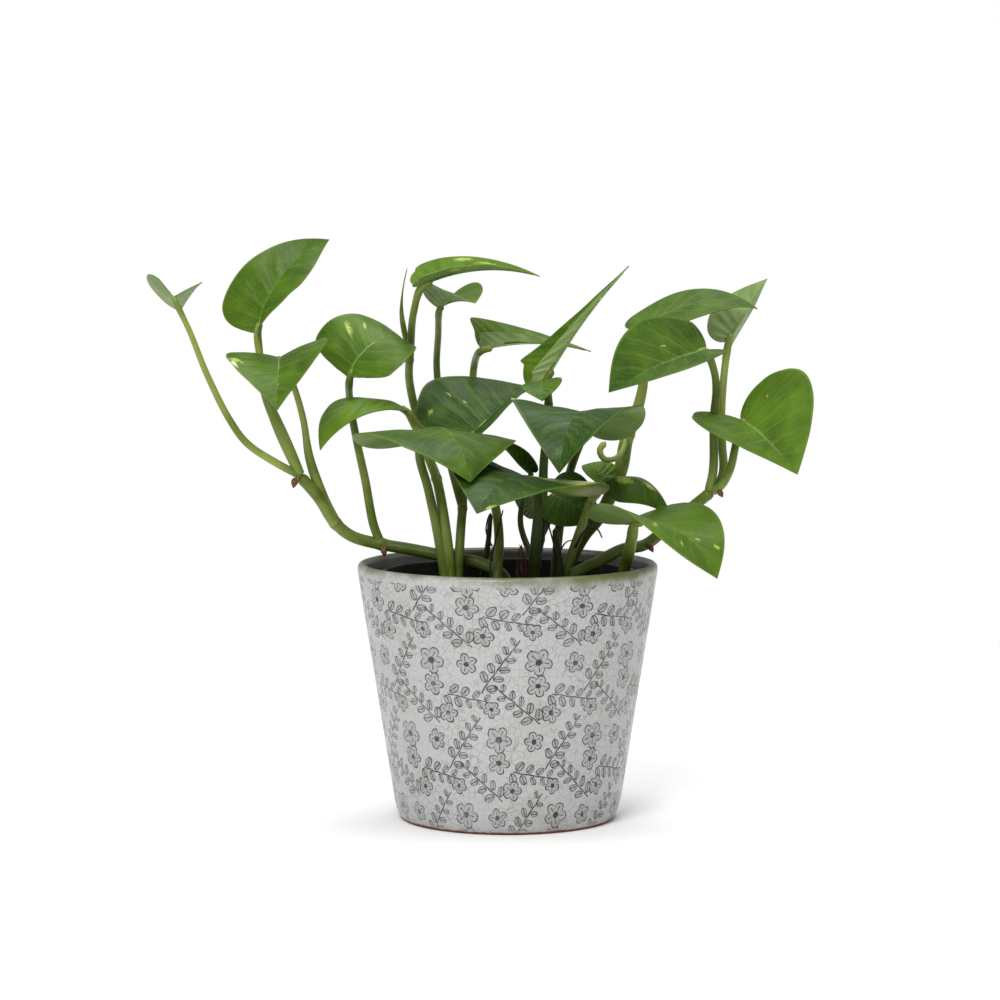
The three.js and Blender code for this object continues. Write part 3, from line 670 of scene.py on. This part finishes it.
leafFinish = {
    "deep": (0.012, 0.04, 0.002, 1), "fresh": (0.09, 0.175, 0.006, 1), "pale": (0.2, 0.32, 0.05, 1),
    "gold": (0.36, 0.46, 0.09, 1), "cream": (0.72, 0.72, 0.42, 1), "brown": (0.08, 0.028, 0.014, 1),
    "under": (0.13, 0.215, 0.045, 1), "underPale": (0.23, 0.31, 0.11, 1),
    "ribs": 8.5, "gloss": 0.17, "roughness": (0.36, 0.5), "underRoughness": 0.55, "patchSize": 14,
    "moteSize": 0.9, "markEdge": (0.85, 1.7), "markRough": 1.3,
    "toneAndShade": 0.42, "patch": (0.22, 0.68), "streak": 0.14, "rib": 0.22, "fine": 0.08, "midrib": (0.1, 0.42),
    "mote": 0.12, "edge": 0.22, "underRib": 0.35, "underFine": 0.2,
}
veinLook = {
    "midribWidth": 0.045, "midribTaper": -0.03, "shift": 0.45, "wobble": 0.5, "wobbleScale": 7,
    "ribWidth": 0.09, "ribFade": 0.6, "ribHeight": 0.6, "finePerRib": 4, "fineWidth": 0.3, "fineFade": 0.3,
    "fineHeight": 0.18, "lineCore": 0.02, "edge": (0.95, 0.985),
}
# The stalks' dark colour is painted shade; the green, yellow and brown are the stalks' own colour.
stalkFinish = {
    "green": (0.075, 0.12, 0.01, 1), "yellow": (0.23, 0.29, 0.06, 1), "dark": (0.02, 0.036, 0.005, 1),
    "brown": (0.12, 0.05, 0.02, 1), "roughness": 0.42, "gloss": 0.22, "grain": (9, 0.6, 1), "fibre": 0.5,
}


def makeVeinGroup():
    results = ("Midrib", "Rib", "Fine", "Edge", "Height")
    tree, given, out = newGroup("leafVeins", ["Surface"], ["Ribs"], results)
    look = veinLook
    parts = partsOf(given["Surface"])
    row = parts[1]
    side = calc("MULTIPLY_ADD", parts[0], 2, -1)
    aside = calc("ABSOLUTE", side)
    midribWidth = calc("MULTIPLY_ADD", row, look["midribTaper"], look["midribWidth"])
    midrib = ramp(over(aside, midribWidth), 1, 0.2)
    shift = times(calc("GREATER_THAN", side, 0), look["shift"])
    phase = calc("MULTIPLY_ADD", row, given["Ribs"], shift)
    wobble = noiseAt(given["Surface"], look["wobbleScale"])
    phase = calc("MULTIPLY_ADD", wobble, look["wobble"], phase)
    inward = minus(1, aside)

    def lines(perRib, width, fade):
        place = calc("FRACT", times(phase, perRib))
        line = ramp(calc("ABSOLUTE", minus(place, 0.5)), width, look["lineCore"])
        return times(line, calc("POWER", inward, fade))

    rib = lines(1, look["ribWidth"], look["ribFade"])
    fine = lines(look["finePerRib"], look["fineWidth"], look["fineFade"])
    height = calc("MULTIPLY_ADD", rib, look["ribHeight"], times(fine, look["fineHeight"]))
    height = calc("MAXIMUM", height, midrib)
    edge = ramp(aside, *look["edge"])
    connectAll(out, Midrib=midrib, Rib=rib, Fine=fine, Edge=edge, Height=height)
    return tree


def makeMottleGroup():
    results = ("Patch", "Mote", "Streak")
    tree, given, out = newGroup("leafMottle", ["Surface", "Place"], ["PatchSize", "MoteSize"], results)
    patch = noiseAt(given["Place"], over(1 / mm, given["PatchSize"]), 3, 0.4)
    mote = noiseAt(given["Place"], over(1 / mm, given["MoteSize"]), 2)
    drift = vectorCalc("MULTIPLY", given["Place"], (30, 30, 30))
    where = vectorCalc("ADD", stretched(given["Surface"], (3.5, 26, 1)), drift)
    streak = ramp(noiseAt(where, 1.4, 3), 0.6, 0.78)
    connectAll(out, Patch=patch, Mote=mote, Streak=streak)
    return tree


veinGroup = makeVeinGroup()
mottleGroup = makeMottleGroup()


def surfacePlace(tree):
    return node(tree, "UVMap", uv_map="surface").outputs[0]


def leafMasks(tree):
    surface = surfacePlace(tree)
    veins = useGroup(veinGroup, Surface=surface, Ribs=leafFinish["ribs"])
    mottle = useGroup(
        mottleGroup, Surface=surface, Place=objectPlace(tree), PatchSize=leafFinish["patchSize"],
        MoteSize=leafFinish["moteSize"],
    )
    return veins, mottle


def markMask(name, rough):
    reach = calc("MULTIPLY_ADD", rough, leafFinish["markRough"], attribute(rough.id_data, name))
    return ramp(reach, *leafFinish["markEdge"])


def addMarks(colour, rough):
    for name in ("gold", "cream", "brown"):
        colour = blend(markMask(name, rough), colour, leafFinish[name])
    return colour


def makeLeafTop():
    look = leafFinish
    material, tree, shader = newMaterial("leafTop", gloss=look["gloss"])
    veins, mottle = leafMasks(tree)
    toneAndShade, mote = attribute(tree, "toneAndShade"), mottle["Mote"]
    # A low tone pulls the blade towards the deep colour: partly the blade's own tone, partly painted shade on
    # shaded blades.
    freshness = calc("MULTIPLY_ADD", toneAndShade, look["toneAndShade"], ramp(mottle["Patch"], 0.25, 0.75, *look["patch"]))
    colour = blend(freshness, look["deep"], look["fresh"])
    colour = tint(colour, mottle["Streak"], look["streak"], look["pale"])
    colour = tint(colour, veins["Rib"], look["rib"], look["pale"])
    colour = tint(colour, veins["Fine"], look["fine"], look["pale"])
    colour = tint(colour, veins["Midrib"], ramp(toneAndShade, -1.2, 0, *look["midrib"]), look["pale"])
    colour = blend(ramp(mote, 0.35, 0.75, 0, look["mote"]), colour, look["fresh"])
    colour = tint(colour, veins["Edge"], look["edge"], look["pale"])
    colour = addMarks(colour, mote)
    height = calc("MULTIPLY_ADD", mote, 0.25, times(veins["Height"], -1))
    finishLook(shader, colour, height, 0.35, 0.35, ramp(mote, 0.3, 0.7, *look["roughness"]))
    return material


def makeLeafUnder():
    look = leafFinish
    material, tree, shader = newMaterial("leafUnder", look["underRoughness"])
    veins, mottle = leafMasks(tree)
    colour = blend(ramp(mottle["Patch"], 0.3, 0.75), look["under"], look["underPale"])
    colour = tint(colour, veins["Rib"], look["underRib"], look["underPale"])
    colour = tint(colour, veins["Fine"], look["underFine"], look["fresh"])
    colour = addMarks(colour, mottle["Mote"])
    height = calc("MULTIPLY_ADD", mottle["Mote"], 0.2, veins["Height"])
    finishLook(shader, colour, height, 0.4, 0.3)
    return material


def makeStalkGreen():
    look = stalkFinish
    material, tree, shader = newMaterial("stalkGreen", look["roughness"], look["gloss"])
    place, toneAndShade = objectPlace(tree), attribute(tree, "toneAndShade")
    fibres = noiseAt(stretched(surfacePlace(tree), look["grain"]), 3, 3)
    patch = noiseAt(place, 45, 3)
    specks = noiseAt(place, 900, 2)
    colour = blend(ramp(patch, 0.35, 0.7), look["green"], look["yellow"])
    colour = blend(ramp(fibres, 0.45, 0.75, 0, look["fibre"]), colour, look["yellow"])
    # Painted shade: the dark end of the stalk tone darkens stalks that stand in shade.
    colour = blend(ramp(times(toneAndShade, -1), 0, 1), colour, look["dark"])
    colour = blend(ramp(toneAndShade, 0, 1), colour, look["yellow"])
    colour = blend(markMask("brown", specks), colour, look["brown"])
    finishLook(shader, colour, plus(fibres, times(specks, 0.3)), 0.3, 0.25)
    return material


# Brown leaf scales left at the nodes: start and end
leafScales = {
    "vine_left": [((-98.5, -6, 160), (-99.5, -7.5, 155)), ((-58.5, 9, 126.5), (-57.5, 7.5, 121.5))],
    "vine_right": [((98.5, 3, 153.5), (100.5, 1.5, 150)), ((66, 9, 128), (68.5, 8, 123.5))],
}

leafMaterials = [makeLeafTop(), makeLeafUnder(), makeStalkGreen()]
print("leaf finishes made")

for nodeName, plantStalks in stalks.items():
    bm = bmesh.new()
    bm.loops.layers.uv.new("surface")
    bm.verts.layers.float_vector.new("facing")
    for layer in ("toneAndShade", "gold", "cream", "brown"):
        bm.verts.layers.float.new(layer)
    for stalk in plantStalks:
        addStalk(bm, stalk, plantStalks)
        if stalk["leaf"]:
            addBlade(bm, stalk["leaf"])
            addMidrib(bm, stalk["leaf"])
    for place, ending in leafScales.get(nodeName, []):
        addScale(bm, place, ending)
    bm.verts.layers.float_vector.remove(bm.verts.layers.float_vector["facing"])
    finishPiece("plant_" + nodeName, bm, leafMaterials, "leaf", nodeName)

# Ceramic pot with its print of sprigs and blossoms

pot = {
    "height": 120, "rimRadius": 70, "footRadius": 49, "kneeRadius": 53.5, "kneeHeight": 11,
    "wall": 5, "floor": 8, "rimThickness": 4.2, "rimDrop": 4, "segments": 160, "wallSteps": 12, "rimSteps": 6,
}
glazeFinish = {
    "ground": (0.41, 0.41, 0.405, 1), "warm": (0.36, 0.355, 0.325, 1), "stain": (0.1, 0.115, 0.03, 1),
    "lipOlive": (0.035, 0.045, 0.012, 1), "innerShade": (0.02, 0.02, 0.016, 1),
    "ink": (0.014, 0.014, 0.016, 1), "clay": (0.16, 0.045, 0.025, 1), "crack": (0.2, 0.2, 0.19, 1),
    "crackSize": 3.2, "crackShow": 0.7, "innerShadeShow": 0.9, "stainReach": 15.5, "stainScatter": 24,
    "lipOliveDepth": 1.6, "footClay": 1.6, "clayRough": 0.45, "roughness": (0.3, 0.4),
    "handShake": (1.6, 1.6, 0), "fade": (0.65, 1), "wear": (0.84, 1),
}
crackLook = {"bendScale": 160, "bend": (0.0016, 0.0016, 0.0016), "width": (0.06, 0.015), "broken": 0.25}
# The print is leafy sprigs and five-petalled blossoms. Its tile goes round the pot `repeats` times,
# and each row of tiles is moved on by `shift`. Places are in mm at a radius of `radius`.
printTile = {"repeats": 8, "radius": 62, "height": 36, "shift": 18, "top": 115.5}
sprigs = [((10, 8), 35, 30), ((36, 26), -50, 28), ((14, 29), 100, 22)]  # centre, angle, length
blossoms = [  # centre, angle, radius
    ((27, 10), 10, 6.5), ((44, 9), 40, 5), ((3, 22), 0, 5), ((24, 24), 20, 4.2), ((45, 35), 5, 5.5),
]
sprigLook = {
    "step": 5.2, "out": 3.3, "tilt": 35, "long": 3, "wide": 2, "taper": 0.4, "stem": 0.32, "vein": 0.22,
    "leafy": (0.08, 0.97), "edge": (0.72, 0.84), "fill": 0.3,
}
blossomLook = {
    "petals": 5, "notch": 0.55, "round": 0.6, "outline": (0.75, 0.55), "eye": 0.24, "vein": 0.985,
    "veinLong": 0.7, "fill": 0.2,
}


def makeMotifGroup(name, draw):
    tree, given, out = newGroup(name, ["Place", "Centre"], ["Turn", "Size"], ("Ink", "Inside"))
    parts = partsOf(vectorCalc("SUBTRACT", given["Place"], given["Centre"]))
    halfTile = math.pi * printTile["radius"] / printTile["repeats"]
    row = calc("FLOOR", calc("MULTIPLY_ADD", parts[1], 1 / printTile["height"], 0.5))
    y = calc("MULTIPLY_ADD", row, -printTile["height"], parts[1])
    x = calc("WRAP", calc("MULTIPLY_ADD", row, -printTile["shift"], parts[0]), halfTile, -halfTile)
    across, along = turned(x, y, calc("COSINE", given["Turn"]), calc("SINE", given["Turn"]))
    ink, inside = draw(across, along, given["Size"])
    connectAll(out, Ink=ink, Inside=inside)
    return tree


def drawSprig(across, along, size):
    look = sprigLook
    aside = calc("ABSOLUTE", across)
    step = plus(over(along, look["step"]), times(calc("GREATER_THAN", across, 0), 0.5))
    leafPlace = times(plus(calc("FLOOR", step), 0.5), look["step"])
    leafShare = plus(over(leafPlace, size), 0.5)
    first, last = look["leafy"]
    whole = times(calc("GREATER_THAN", leafShare, first), calc("LESS_THAN", leafShare, last))
    smaller = calc("MULTIPLY_ADD", leafShare, -look["taper"], 1)
    u = times(minus(calc("FRACT", step), 0.5), look["step"])
    v = minus(aside, times(smaller, look["out"]))
    tilt = math.radians(look["tilt"])
    sideways, lengthways = turned(u, v, math.cos(tilt), math.sin(tilt))
    endwise = over(lengthways, times(smaller, look["long"]))
    edgewise = over(sideways, times(smaller, look["wide"]))
    far = distance(endwise, edgewise)
    leaf = times(calc("LESS_THAN", far, 1), whole)
    vein = calc("LESS_THAN", calc("ABSOLUTE", sideways), look["vein"])
    lines = calc("MAXIMUM", ramp(far, *look["edge"]), vein)
    ink = times(calc("MAXIMUM", lines, look["fill"]), leaf)
    stemShare = calc("ABSOLUTE", over(along, size))
    stem = times(calc("LESS_THAN", aside, look["stem"]), calc("LESS_THAN", stemShare, 0.5))
    return calc("MAXIMUM", ink, stem), calc("MAXIMUM", leaf, stem)


def drawBlossom(across, along, size):
    look = blossomLook
    radius = distance(across, along)
    petal = calc("ABSOLUTE", calc("COSINE", times(calc("ARCTAN2", along, across), look["petals"] / 2)))
    swelling = calc("MULTIPLY_ADD", calc("POWER", petal, look["round"]), 1 - look["notch"], look["notch"])
    reach = times(size, swelling)
    inside = calc("LESS_THAN", radius, reach)
    share = over(radius, size)
    edge = ramp(minus(reach, radius), *look["outline"])
    vein = times(calc("GREATER_THAN", petal, look["vein"]), calc("LESS_THAN", share, look["veinLong"]))
    lines = calc("MAXIMUM", calc("MAXIMUM", edge, vein), calc("LESS_THAN", share, look["eye"]))
    return times(calc("MAXIMUM", lines, look["fill"]), inside), inside


def makeCrackleGroup():
    tree, given, out = newGroup("crackle", ["Place"], ["Size"], ("Line", "Height"))
    cells = node(tree, "TexVoronoi", feature="DISTANCE_TO_EDGE")
    where = shaken(given["Place"], given["Place"], crackLook["bendScale"], crackLook["bend"])
    connectAll(cells.inputs, Vector=where, Scale=over(1 / mm, given["Size"]))
    line = ramp(cells.outputs["Distance"], *crackLook["width"])
    broken = ramp(noiseAt(given["Place"], 90), 0.3, 0.6, crackLook["broken"], 1)
    line = times(line, broken)
    connectAll(out, Line=line, Height=times(line, -1))
    return tree


sprigGroup = makeMotifGroup("printedSprig", drawSprig)
blossomGroup = makeMotifGroup("printedBlossom", drawBlossom)
crackleGroup = makeCrackleGroup()


def makePrint(place, angle, z):
    flat = fed("CombineXYZ", times(angle, printTile["radius"]), z).outputs[0]
    flat = shaken(flat, place, 230, glazeFinish["handShake"])
    motifs = [(sprigGroup, motif) for motif in sprigs] + [(blossomGroup, motif) for motif in blossoms]
    ink = 0
    for group, (centre, turn, size) in motifs:
        drawn = useGroup(group, Place=flat, Centre=(*centre, 0), Turn=math.radians(turn), Size=size)
        ink = plus(times(ink, minus(1, drawn["Inside"])), drawn["Ink"])
    return calc("MINIMUM", ink, 1)


def makeGlaze():
    look, top = glazeFinish, pot["height"]
    material, tree, shader = newMaterial("glaze")
    place = objectPlace(tree)
    x, y, z = (over(part, mm) for part in partsOf(place))
    radius = distance(x, y)
    ink = makePrint(place, calc("ARCTAN2", x, times(y, -1)), z)
    slope = (pot["rimRadius"] - pot["kneeRadius"]) / (top - pot["rimDrop"] - pot["kneeHeight"])
    wallRadius = calc("MULTIPLY_ADD", minus(z, pot["kneeHeight"]), slope, pot["kneeRadius"])
    outside = calc("GREATER_THAN", radius, minus(wallRadius, 3))
    isPrinted = times(ramp(z, printTile["top"] + 0.5, printTile["top"] - 0.5), outside)
    for mask in (
        ramp(z, 1, 2.5),
        ramp(noiseAt(place, 500, 3), 0.28, 0.5, *look["fade"]),
        ramp(noiseAt(place, 24), 0.35, 0.62, *look["wear"]),
    ):
        isPrinted = times(isPrinted, mask)
    crackle = useGroup(crackleGroup, Place=place, Size=look["crackSize"])
    cloud = noiseAt(place, 55, 4)
    colour = blend(ramp(cloud, 0.5, 0.8), look["ground"], look["warm"])
    colour = tint(colour, crackle["Line"], look["crackShow"], look["crack"])
    colour = tint(colour, ink, isPrinted, look["ink"])
    scattered = calc("MULTIPLY_ADD", noiseAt(place, 32, 8), -look["stainScatter"], z)
    stainLow = top - look["stainReach"]
    colour = blend(ramp(scattered, stainLow - 2, stainLow + 5, 0, 0.95), colour, look["stain"])
    # Darker olive on the inner lip of the rim, in patches.
    lipOliveMask = times(ramp(z, top - look["lipOliveDepth"], top - 0.6), ramp(radius, 68.6, 67.2))
    colour = tint(colour, lipOliveMask, ramp(cloud, 0.3, 0.55, 0.4, 0.95), look["lipOlive"])
    # Painted shade: the inside wall below the rim is darkened almost to black.
    innerShadeMask = times(minus(1, outside), ramp(z, top, top - 3))
    colour = tint(colour, innerShadeMask, look["innerShadeShow"], look["innerShade"])
    uneven = calc("MULTIPLY_ADD", noiseAt(place, 300), 1.2, z)
    footward = ramp(uneven, look["footClay"] + 0.6, look["footClay"])
    colour = blend(footward, colour, look["clay"])
    roughness = ramp(cloud, 0.3, 0.7, *look["roughness"])
    roughness = calc("MULTIPLY_ADD", footward, look["clayRough"], roughness)
    height = plus(crackle["Height"], times(cloud, 3))
    finishLook(shader, colour, height, 0.25, 0.12, roughness)
    return material


def makePot():
    rim, knee, kneeTop = pot["rimRadius"], pot["kneeRadius"], pot["kneeHeight"]
    top, wallTop, floor = pot["height"], pot["height"] - pot["rimDrop"], pot["floor"]
    foot, innerFloor = pot["footRadius"], pot["kneeRadius"] - pot["wall"] - 1
    profile = [(0, 0), (foot, 0), (foot + 1.2, 0.6), (knee - 1.4, 5), (knee, kneeTop)]
    for k in range(1, pot["wallSteps"] + 1):
        share = k / pot["wallSteps"]
        profile.append((knee + (rim - knee) * share, kneeTop + (wallTop - kneeTop) * share))
    half = pot["rimThickness"] / 2
    for k in range(pot["rimSteps"] + 1):
        angle = math.pi * k / pot["rimSteps"]
        profile.append((rim - half + half * math.cos(angle), top - half + half * math.sin(angle)))
    profile += [(rim - pot["wall"], top - 6), (innerFloor + 3, floor + 6), (innerFloor, floor), (0, floor)]
    bm = bmesh.new()
    turnedPiece(bm, profile, pot["segments"])
    finishPiece("pot_glazed", bm, [makeGlaze()], "glazed_pot", "pot")


makePot()

# Soil, nursery pot and roots

soilLook = {
    "heights": [(0, 105.4), (18, 106), (34, 105.1), (46.6, 102.2), (55.2, 103)], "segments": 120,
    "rings": 36, "lift": 0.3, "rough": 1.5, "grain": 3.2, "deepest": -0.15, "calmEdge": 3, "under": 1.5,
    "seed": 11, "reach": 53, "raised": 0.6, "lean": (-0.4, 0.4), "turn": (0, 6.3),
    "crumbs": 320, "crumbRadius": (0.5, 1.6), "crumbStretch": (0.7, 1.3), "crumbFlat": (0.6, 1),
    "chips": 60, "chipLength": (2, 6), "chipWidth": (0.7, 1.8), "chipThickness": 0.6,
}
growRim = [
    (59.3, 108.8), (61.15, 109), (61.25, 111), (61.15, 114.9), (60.6, 115.5), (59, 115.6), (57.7, 115.4),
    (57.4, 114.8), (57.4, 112),
]
twigs = [  # radius at the foot, and the points it runs through
    (0.55, [(-6, -13, 104), (-8, -13, 119), (-5, -12, 134), (-2, -12, 146)]),
    (0.5, [(-7, -13, 128), (-10, -15, 136), (-9, -15, 143)]),
    (0.6, [(21, -15, 104), (24, -16, 119), (21, -16, 131), (18, -15, 142)]),
    (0.45, [(23, -16, 124), (27, -17, 131), (31, -17, 132)]),
    (0.6, [(31, -9, 127), (36, -13, 136), (41, -13, 137), (44, -12, 132)]),
    (0.4, [(37, -13, 136), (39, -15, 142), (38, -15, 147)]),
]
twigLook = {
    "step": 1.2, "sides": 8, "taper": 0.45, "rough": 0.3, "grain": 1.5,
    "dark": (0.008, 0.006, 0.004, 1), "light": (0.045, 0.03, 0.015, 1),
}
strands = {
    "seed": 5, "count": 9, "top": (6, -14, 129), "foot": 106, "spread": 3.5, "radius": 0.22, "taper": 0.4,
    "sides": 6, "dark": (0.05, 0.016, 0.01, 1), "light": (0.17, 0.06, 0.03, 1),
}
peatFinish = {
    "dark": (0.006, 0.0045, 0.003, 1), "light": (0.02, 0.013, 0.008, 1), "fleck": (0.06, 0.04, 0.022, 1),
    "roughness": 0.95, "gloss": 0.15,
}
plasticFinish = {
    "black": (0.005, 0.005, 0.005, 1), "dust": (0.022, 0.018, 0.013, 1), "gloss": 0.2,
    "roughness": (0.4, 0.75),
}


def soilHeight(radius):
    heights = soilLook["heights"]
    for (r0, z0), (r1, z1) in zip(heights, heights[1:]):
        if radius <= r1:
            return z0 + (z1 - z0) * (radius - r0) / (r1 - r0)
    return heights[-1][1]


def makePeat():
    look = peatFinish
    material, tree, shader = newMaterial("peat", look["roughness"], look["gloss"])
    place = objectPlace(tree)
    fine, coarse = noiseAt(place, 700, 4), noiseAt(place, 160, 3)
    colour = blend(ramp(coarse, 0.35, 0.7), look["dark"], look["light"])
    colour = blend(ramp(fine, 0.62, 0.75), colour, look["fleck"])
    finishLook(shader, colour, fine, 0.8, 0.8)
    return material


def makePlastic():
    look = plasticFinish
    material, tree, shader = newMaterial("nurseryPlastic", gloss=look["gloss"])
    place = objectPlace(tree)
    dust = noiseAt(place, 120, 4)
    colour = blend(ramp(dust, 0.5, 0.8, 0, 0.5), look["black"], look["dust"])
    roughness = ramp(dust, 0.3, 0.7, *look["roughness"])
    finishLook(shader, colour, noiseAt(place, 1500), 0.2, 0.1, roughness)
    return material


def makeFibre(name, look):
    material, tree, shader = newMaterial(name, 0.8)
    mottled = noiseAt(objectPlace(tree), 500, 3)
    colour = blend(ramp(mottled, 0.35, 0.7), look["dark"], look["light"])
    finishLook(shader, colour, mottled, 0.5, 0.3)
    return material


def pick(dice, limits):
    return dice.uniform(*limits) if isinstance(limits, tuple) else limits


def makeSoilSurface(peat):
    look = soilLook
    dice = random.Random(look["seed"])
    edge = look["heights"][-1][0]
    radii = [edge * k / look["rings"] for k in range(look["rings"] + 1)]
    profile = [(radius, soilHeight(radius) + look["lift"]) for radius in radii]
    profile += [(radius, soilHeight(radius) - look["under"]) for radius in (edge, 46, 0)]
    bm = bmesh.new()
    turnedPiece(bm, profile, look["segments"])
    for vert in bm.verts:
        radius = math.hypot(vert.co.x, vert.co.y)
        if vert.co.z > soilHeight(radius):
            bumpy = max(look["deepest"], noise.fractal(vert.co / look["grain"], 1, 2, 3))
            vert.co.z += look["rough"] * bumpy * min(1, (edge - radius) / look["calmEdge"] + 0.2)
    for k in range(look["crumbs"] + look["chips"]):
        angle = dice.uniform(0, 2 * math.pi)
        radius = look["reach"] * math.sqrt(dice.random())
        height = soilHeight(radius) + look["raised"]
        place = Vector((radius * math.cos(angle), radius * math.sin(angle), height))
        if k < look["crumbs"]:
            size = dice.uniform(*look["crumbRadius"])
            made = bmesh.ops.create_icosphere(bm, subdivisions=1, radius=size)["verts"]
            ranges = ("crumbStretch", "crumbStretch", "crumbFlat")
        else:
            made = bmesh.ops.create_cube(bm, size=1)["verts"]
            ranges = ("chipLength", "chipWidth", "chipThickness")
        stretch = Vector([pick(dice, look[key]) for key in ranges])
        turn = Euler([pick(dice, look[key]) for key in ("lean", "lean", "turn")]).to_matrix()
        for vert in made:
            vert.co = place + turn @ (vert.co * stretch)
    finishPiece("soil_surface", bm, [peat], "peat")


def makeGrowRim(plastic):
    bm = bmesh.new()
    turnedPiece(bm, growRim + [growRim[0]], pot["segments"])
    finishPiece("nursery_rim", bm, [plastic], "nursery_plastic")


def newTubeMesh():
    bm = bmesh.new()
    bm.loops.layers.uv.new("surface")
    for layer in ("toneAndShade", "brown"):
        bm.verts.layers.float.new(layer)
    return bm


def makeTwigs():
    bm = newTubeMesh()
    for thick, through in twigs:
        route, length = smoothRoute([Vector(place) for place in through], twigLook["step"])

        def radiusAt(t, out):
            grain = noise.noise(Vector((t * length / twigLook["grain"], out.x, thick * 90)))
            return thick * (1 - twigLook["taper"] * t) * (1 + twigLook["rough"] * grain)

        addTube(bm, route, length, radiusAt, twigLook["sides"], 0)
    finishPiece("dead_twigs", bm, [makeFibre("deadTwig", twigLook)], "leaf")


def makeStrands():
    dice = random.Random(strands["seed"])
    spread = strands["spread"]
    bm = newTubeMesh()
    for k in range(strands["count"]):
        start = Vector(strands["top"]) + Vector([dice.uniform(-0.3, 0.3) * spread for axis in range(3)])
        foot = Vector((start.x + dice.uniform(-1, 1) * spread, start.y - dice.uniform(0, 3), strands["foot"]))
        middle = (start + foot) / 2 + Vector((dice.uniform(-1, 1) * spread / 2, dice.uniform(-1, 0), 0))
        route, length = smoothRoute([start, middle, foot], 1)

        def radiusAt(t, out):
            return strands["radius"] * (1 - strands["taper"] * t)

        addTube(bm, route, length, radiusAt, strands["sides"], 0)
    finishPiece("root_strands", bm, [makeFibre("rootStrand", strands)], "leaf")


plastic, peat = makePlastic(), makePeat()
for nodeName, material in (("grow_pot", plastic), ("soil", peat)):
    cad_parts[nodeName].data.materials.clear()
    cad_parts[nodeName].data.materials.append(material)
makeSoilSurface(peat)
makeGrowRim(plastic)
makeTwigs()
makeStrands()

# Floor, light and camera. Places and sizes here are in metres.

studio = {"floorSize": 12, "fade": (0.25, 0.75), "white": (0.93, 0.93, 0.93, 1), "surround": 0.5}
lamps = [  # name, place, target, size, power in watts
    ("keyLight", (-0.45, -1.5, 1.5), (0, 0, 0.15), 0.8, 30),
    ("topLight", (0.2, 0.2, 1.7), (0, 0, 0.1), 1.2, 20),
]
view = {"lens": 123.98, "sensor": 36, "place": (-0.00357, -1.6, 0.289), "pitch": 85}


def makeFloor():
    bpy.ops.mesh.primitive_plane_add(size=studio["floorSize"])
    floor = bpy.context.object
    floor.name = "floor"
    material, tree, shader = newMaterial("floorWhite", 0.8)
    shader.inputs["Base Color"].default_value = studio["white"]
    parts = partsOf(objectPlace(tree))
    away = distance(parts[0], parts[1])
    mixed = fed("MixShader", ramp(away, *studio["fade"]))
    connect(shader.outputs[0], mixed.inputs[1])
    connect(node(tree, "Emission").outputs[0], mixed.inputs[2])
    connect(mixed.outputs[0], tree.nodes["Material Output"].inputs["Surface"])
    floor.data.materials.append(material)


def makeSurround():
    world = bpy.context.scene.world or bpy.data.worlds.new("studio")
    bpy.context.scene.world = world
    world.use_nodes = True
    tree = world.node_tree
    background = tree.nodes["Background"]
    background.inputs["Color"].default_value = (1, 1, 1, 1)
    seen = node(tree, "LightPath").outputs["Is Camera Ray"]
    connect(ramp(seen, 0, 1, studio["surround"], 1), background.inputs["Strength"])


def addLamp(name, place, target, size, power):
    lamp = bpy.data.lights.new(name, "AREA")
    lamp.size = size
    lamp.energy = power
    holder = bpy.data.objects.new(name, lamp)
    holder.location = place
    holder.rotation_euler = (Vector(target) - Vector(place)).to_track_quat("-Z", "Y").to_euler()
    bpy.context.scene.collection.objects.link(holder)


makeFloor()
makeSurround()
for lamp in lamps:
    addLamp(*lamp)

camera = bpy.data.objects.new("camera", bpy.data.cameras.new("camera"))
camera.data.lens = view["lens"]
camera.data.sensor_width = view["sensor"]
camera.location = view["place"]
camera.rotation_euler = (math.radians(view["pitch"]), 0, 0)
bpy.context.scene.collection.objects.link(camera)
bpy.context.scene.camera = camera
bpy.context.scene.view_settings.view_transform = "Standard"

print("scene ready")
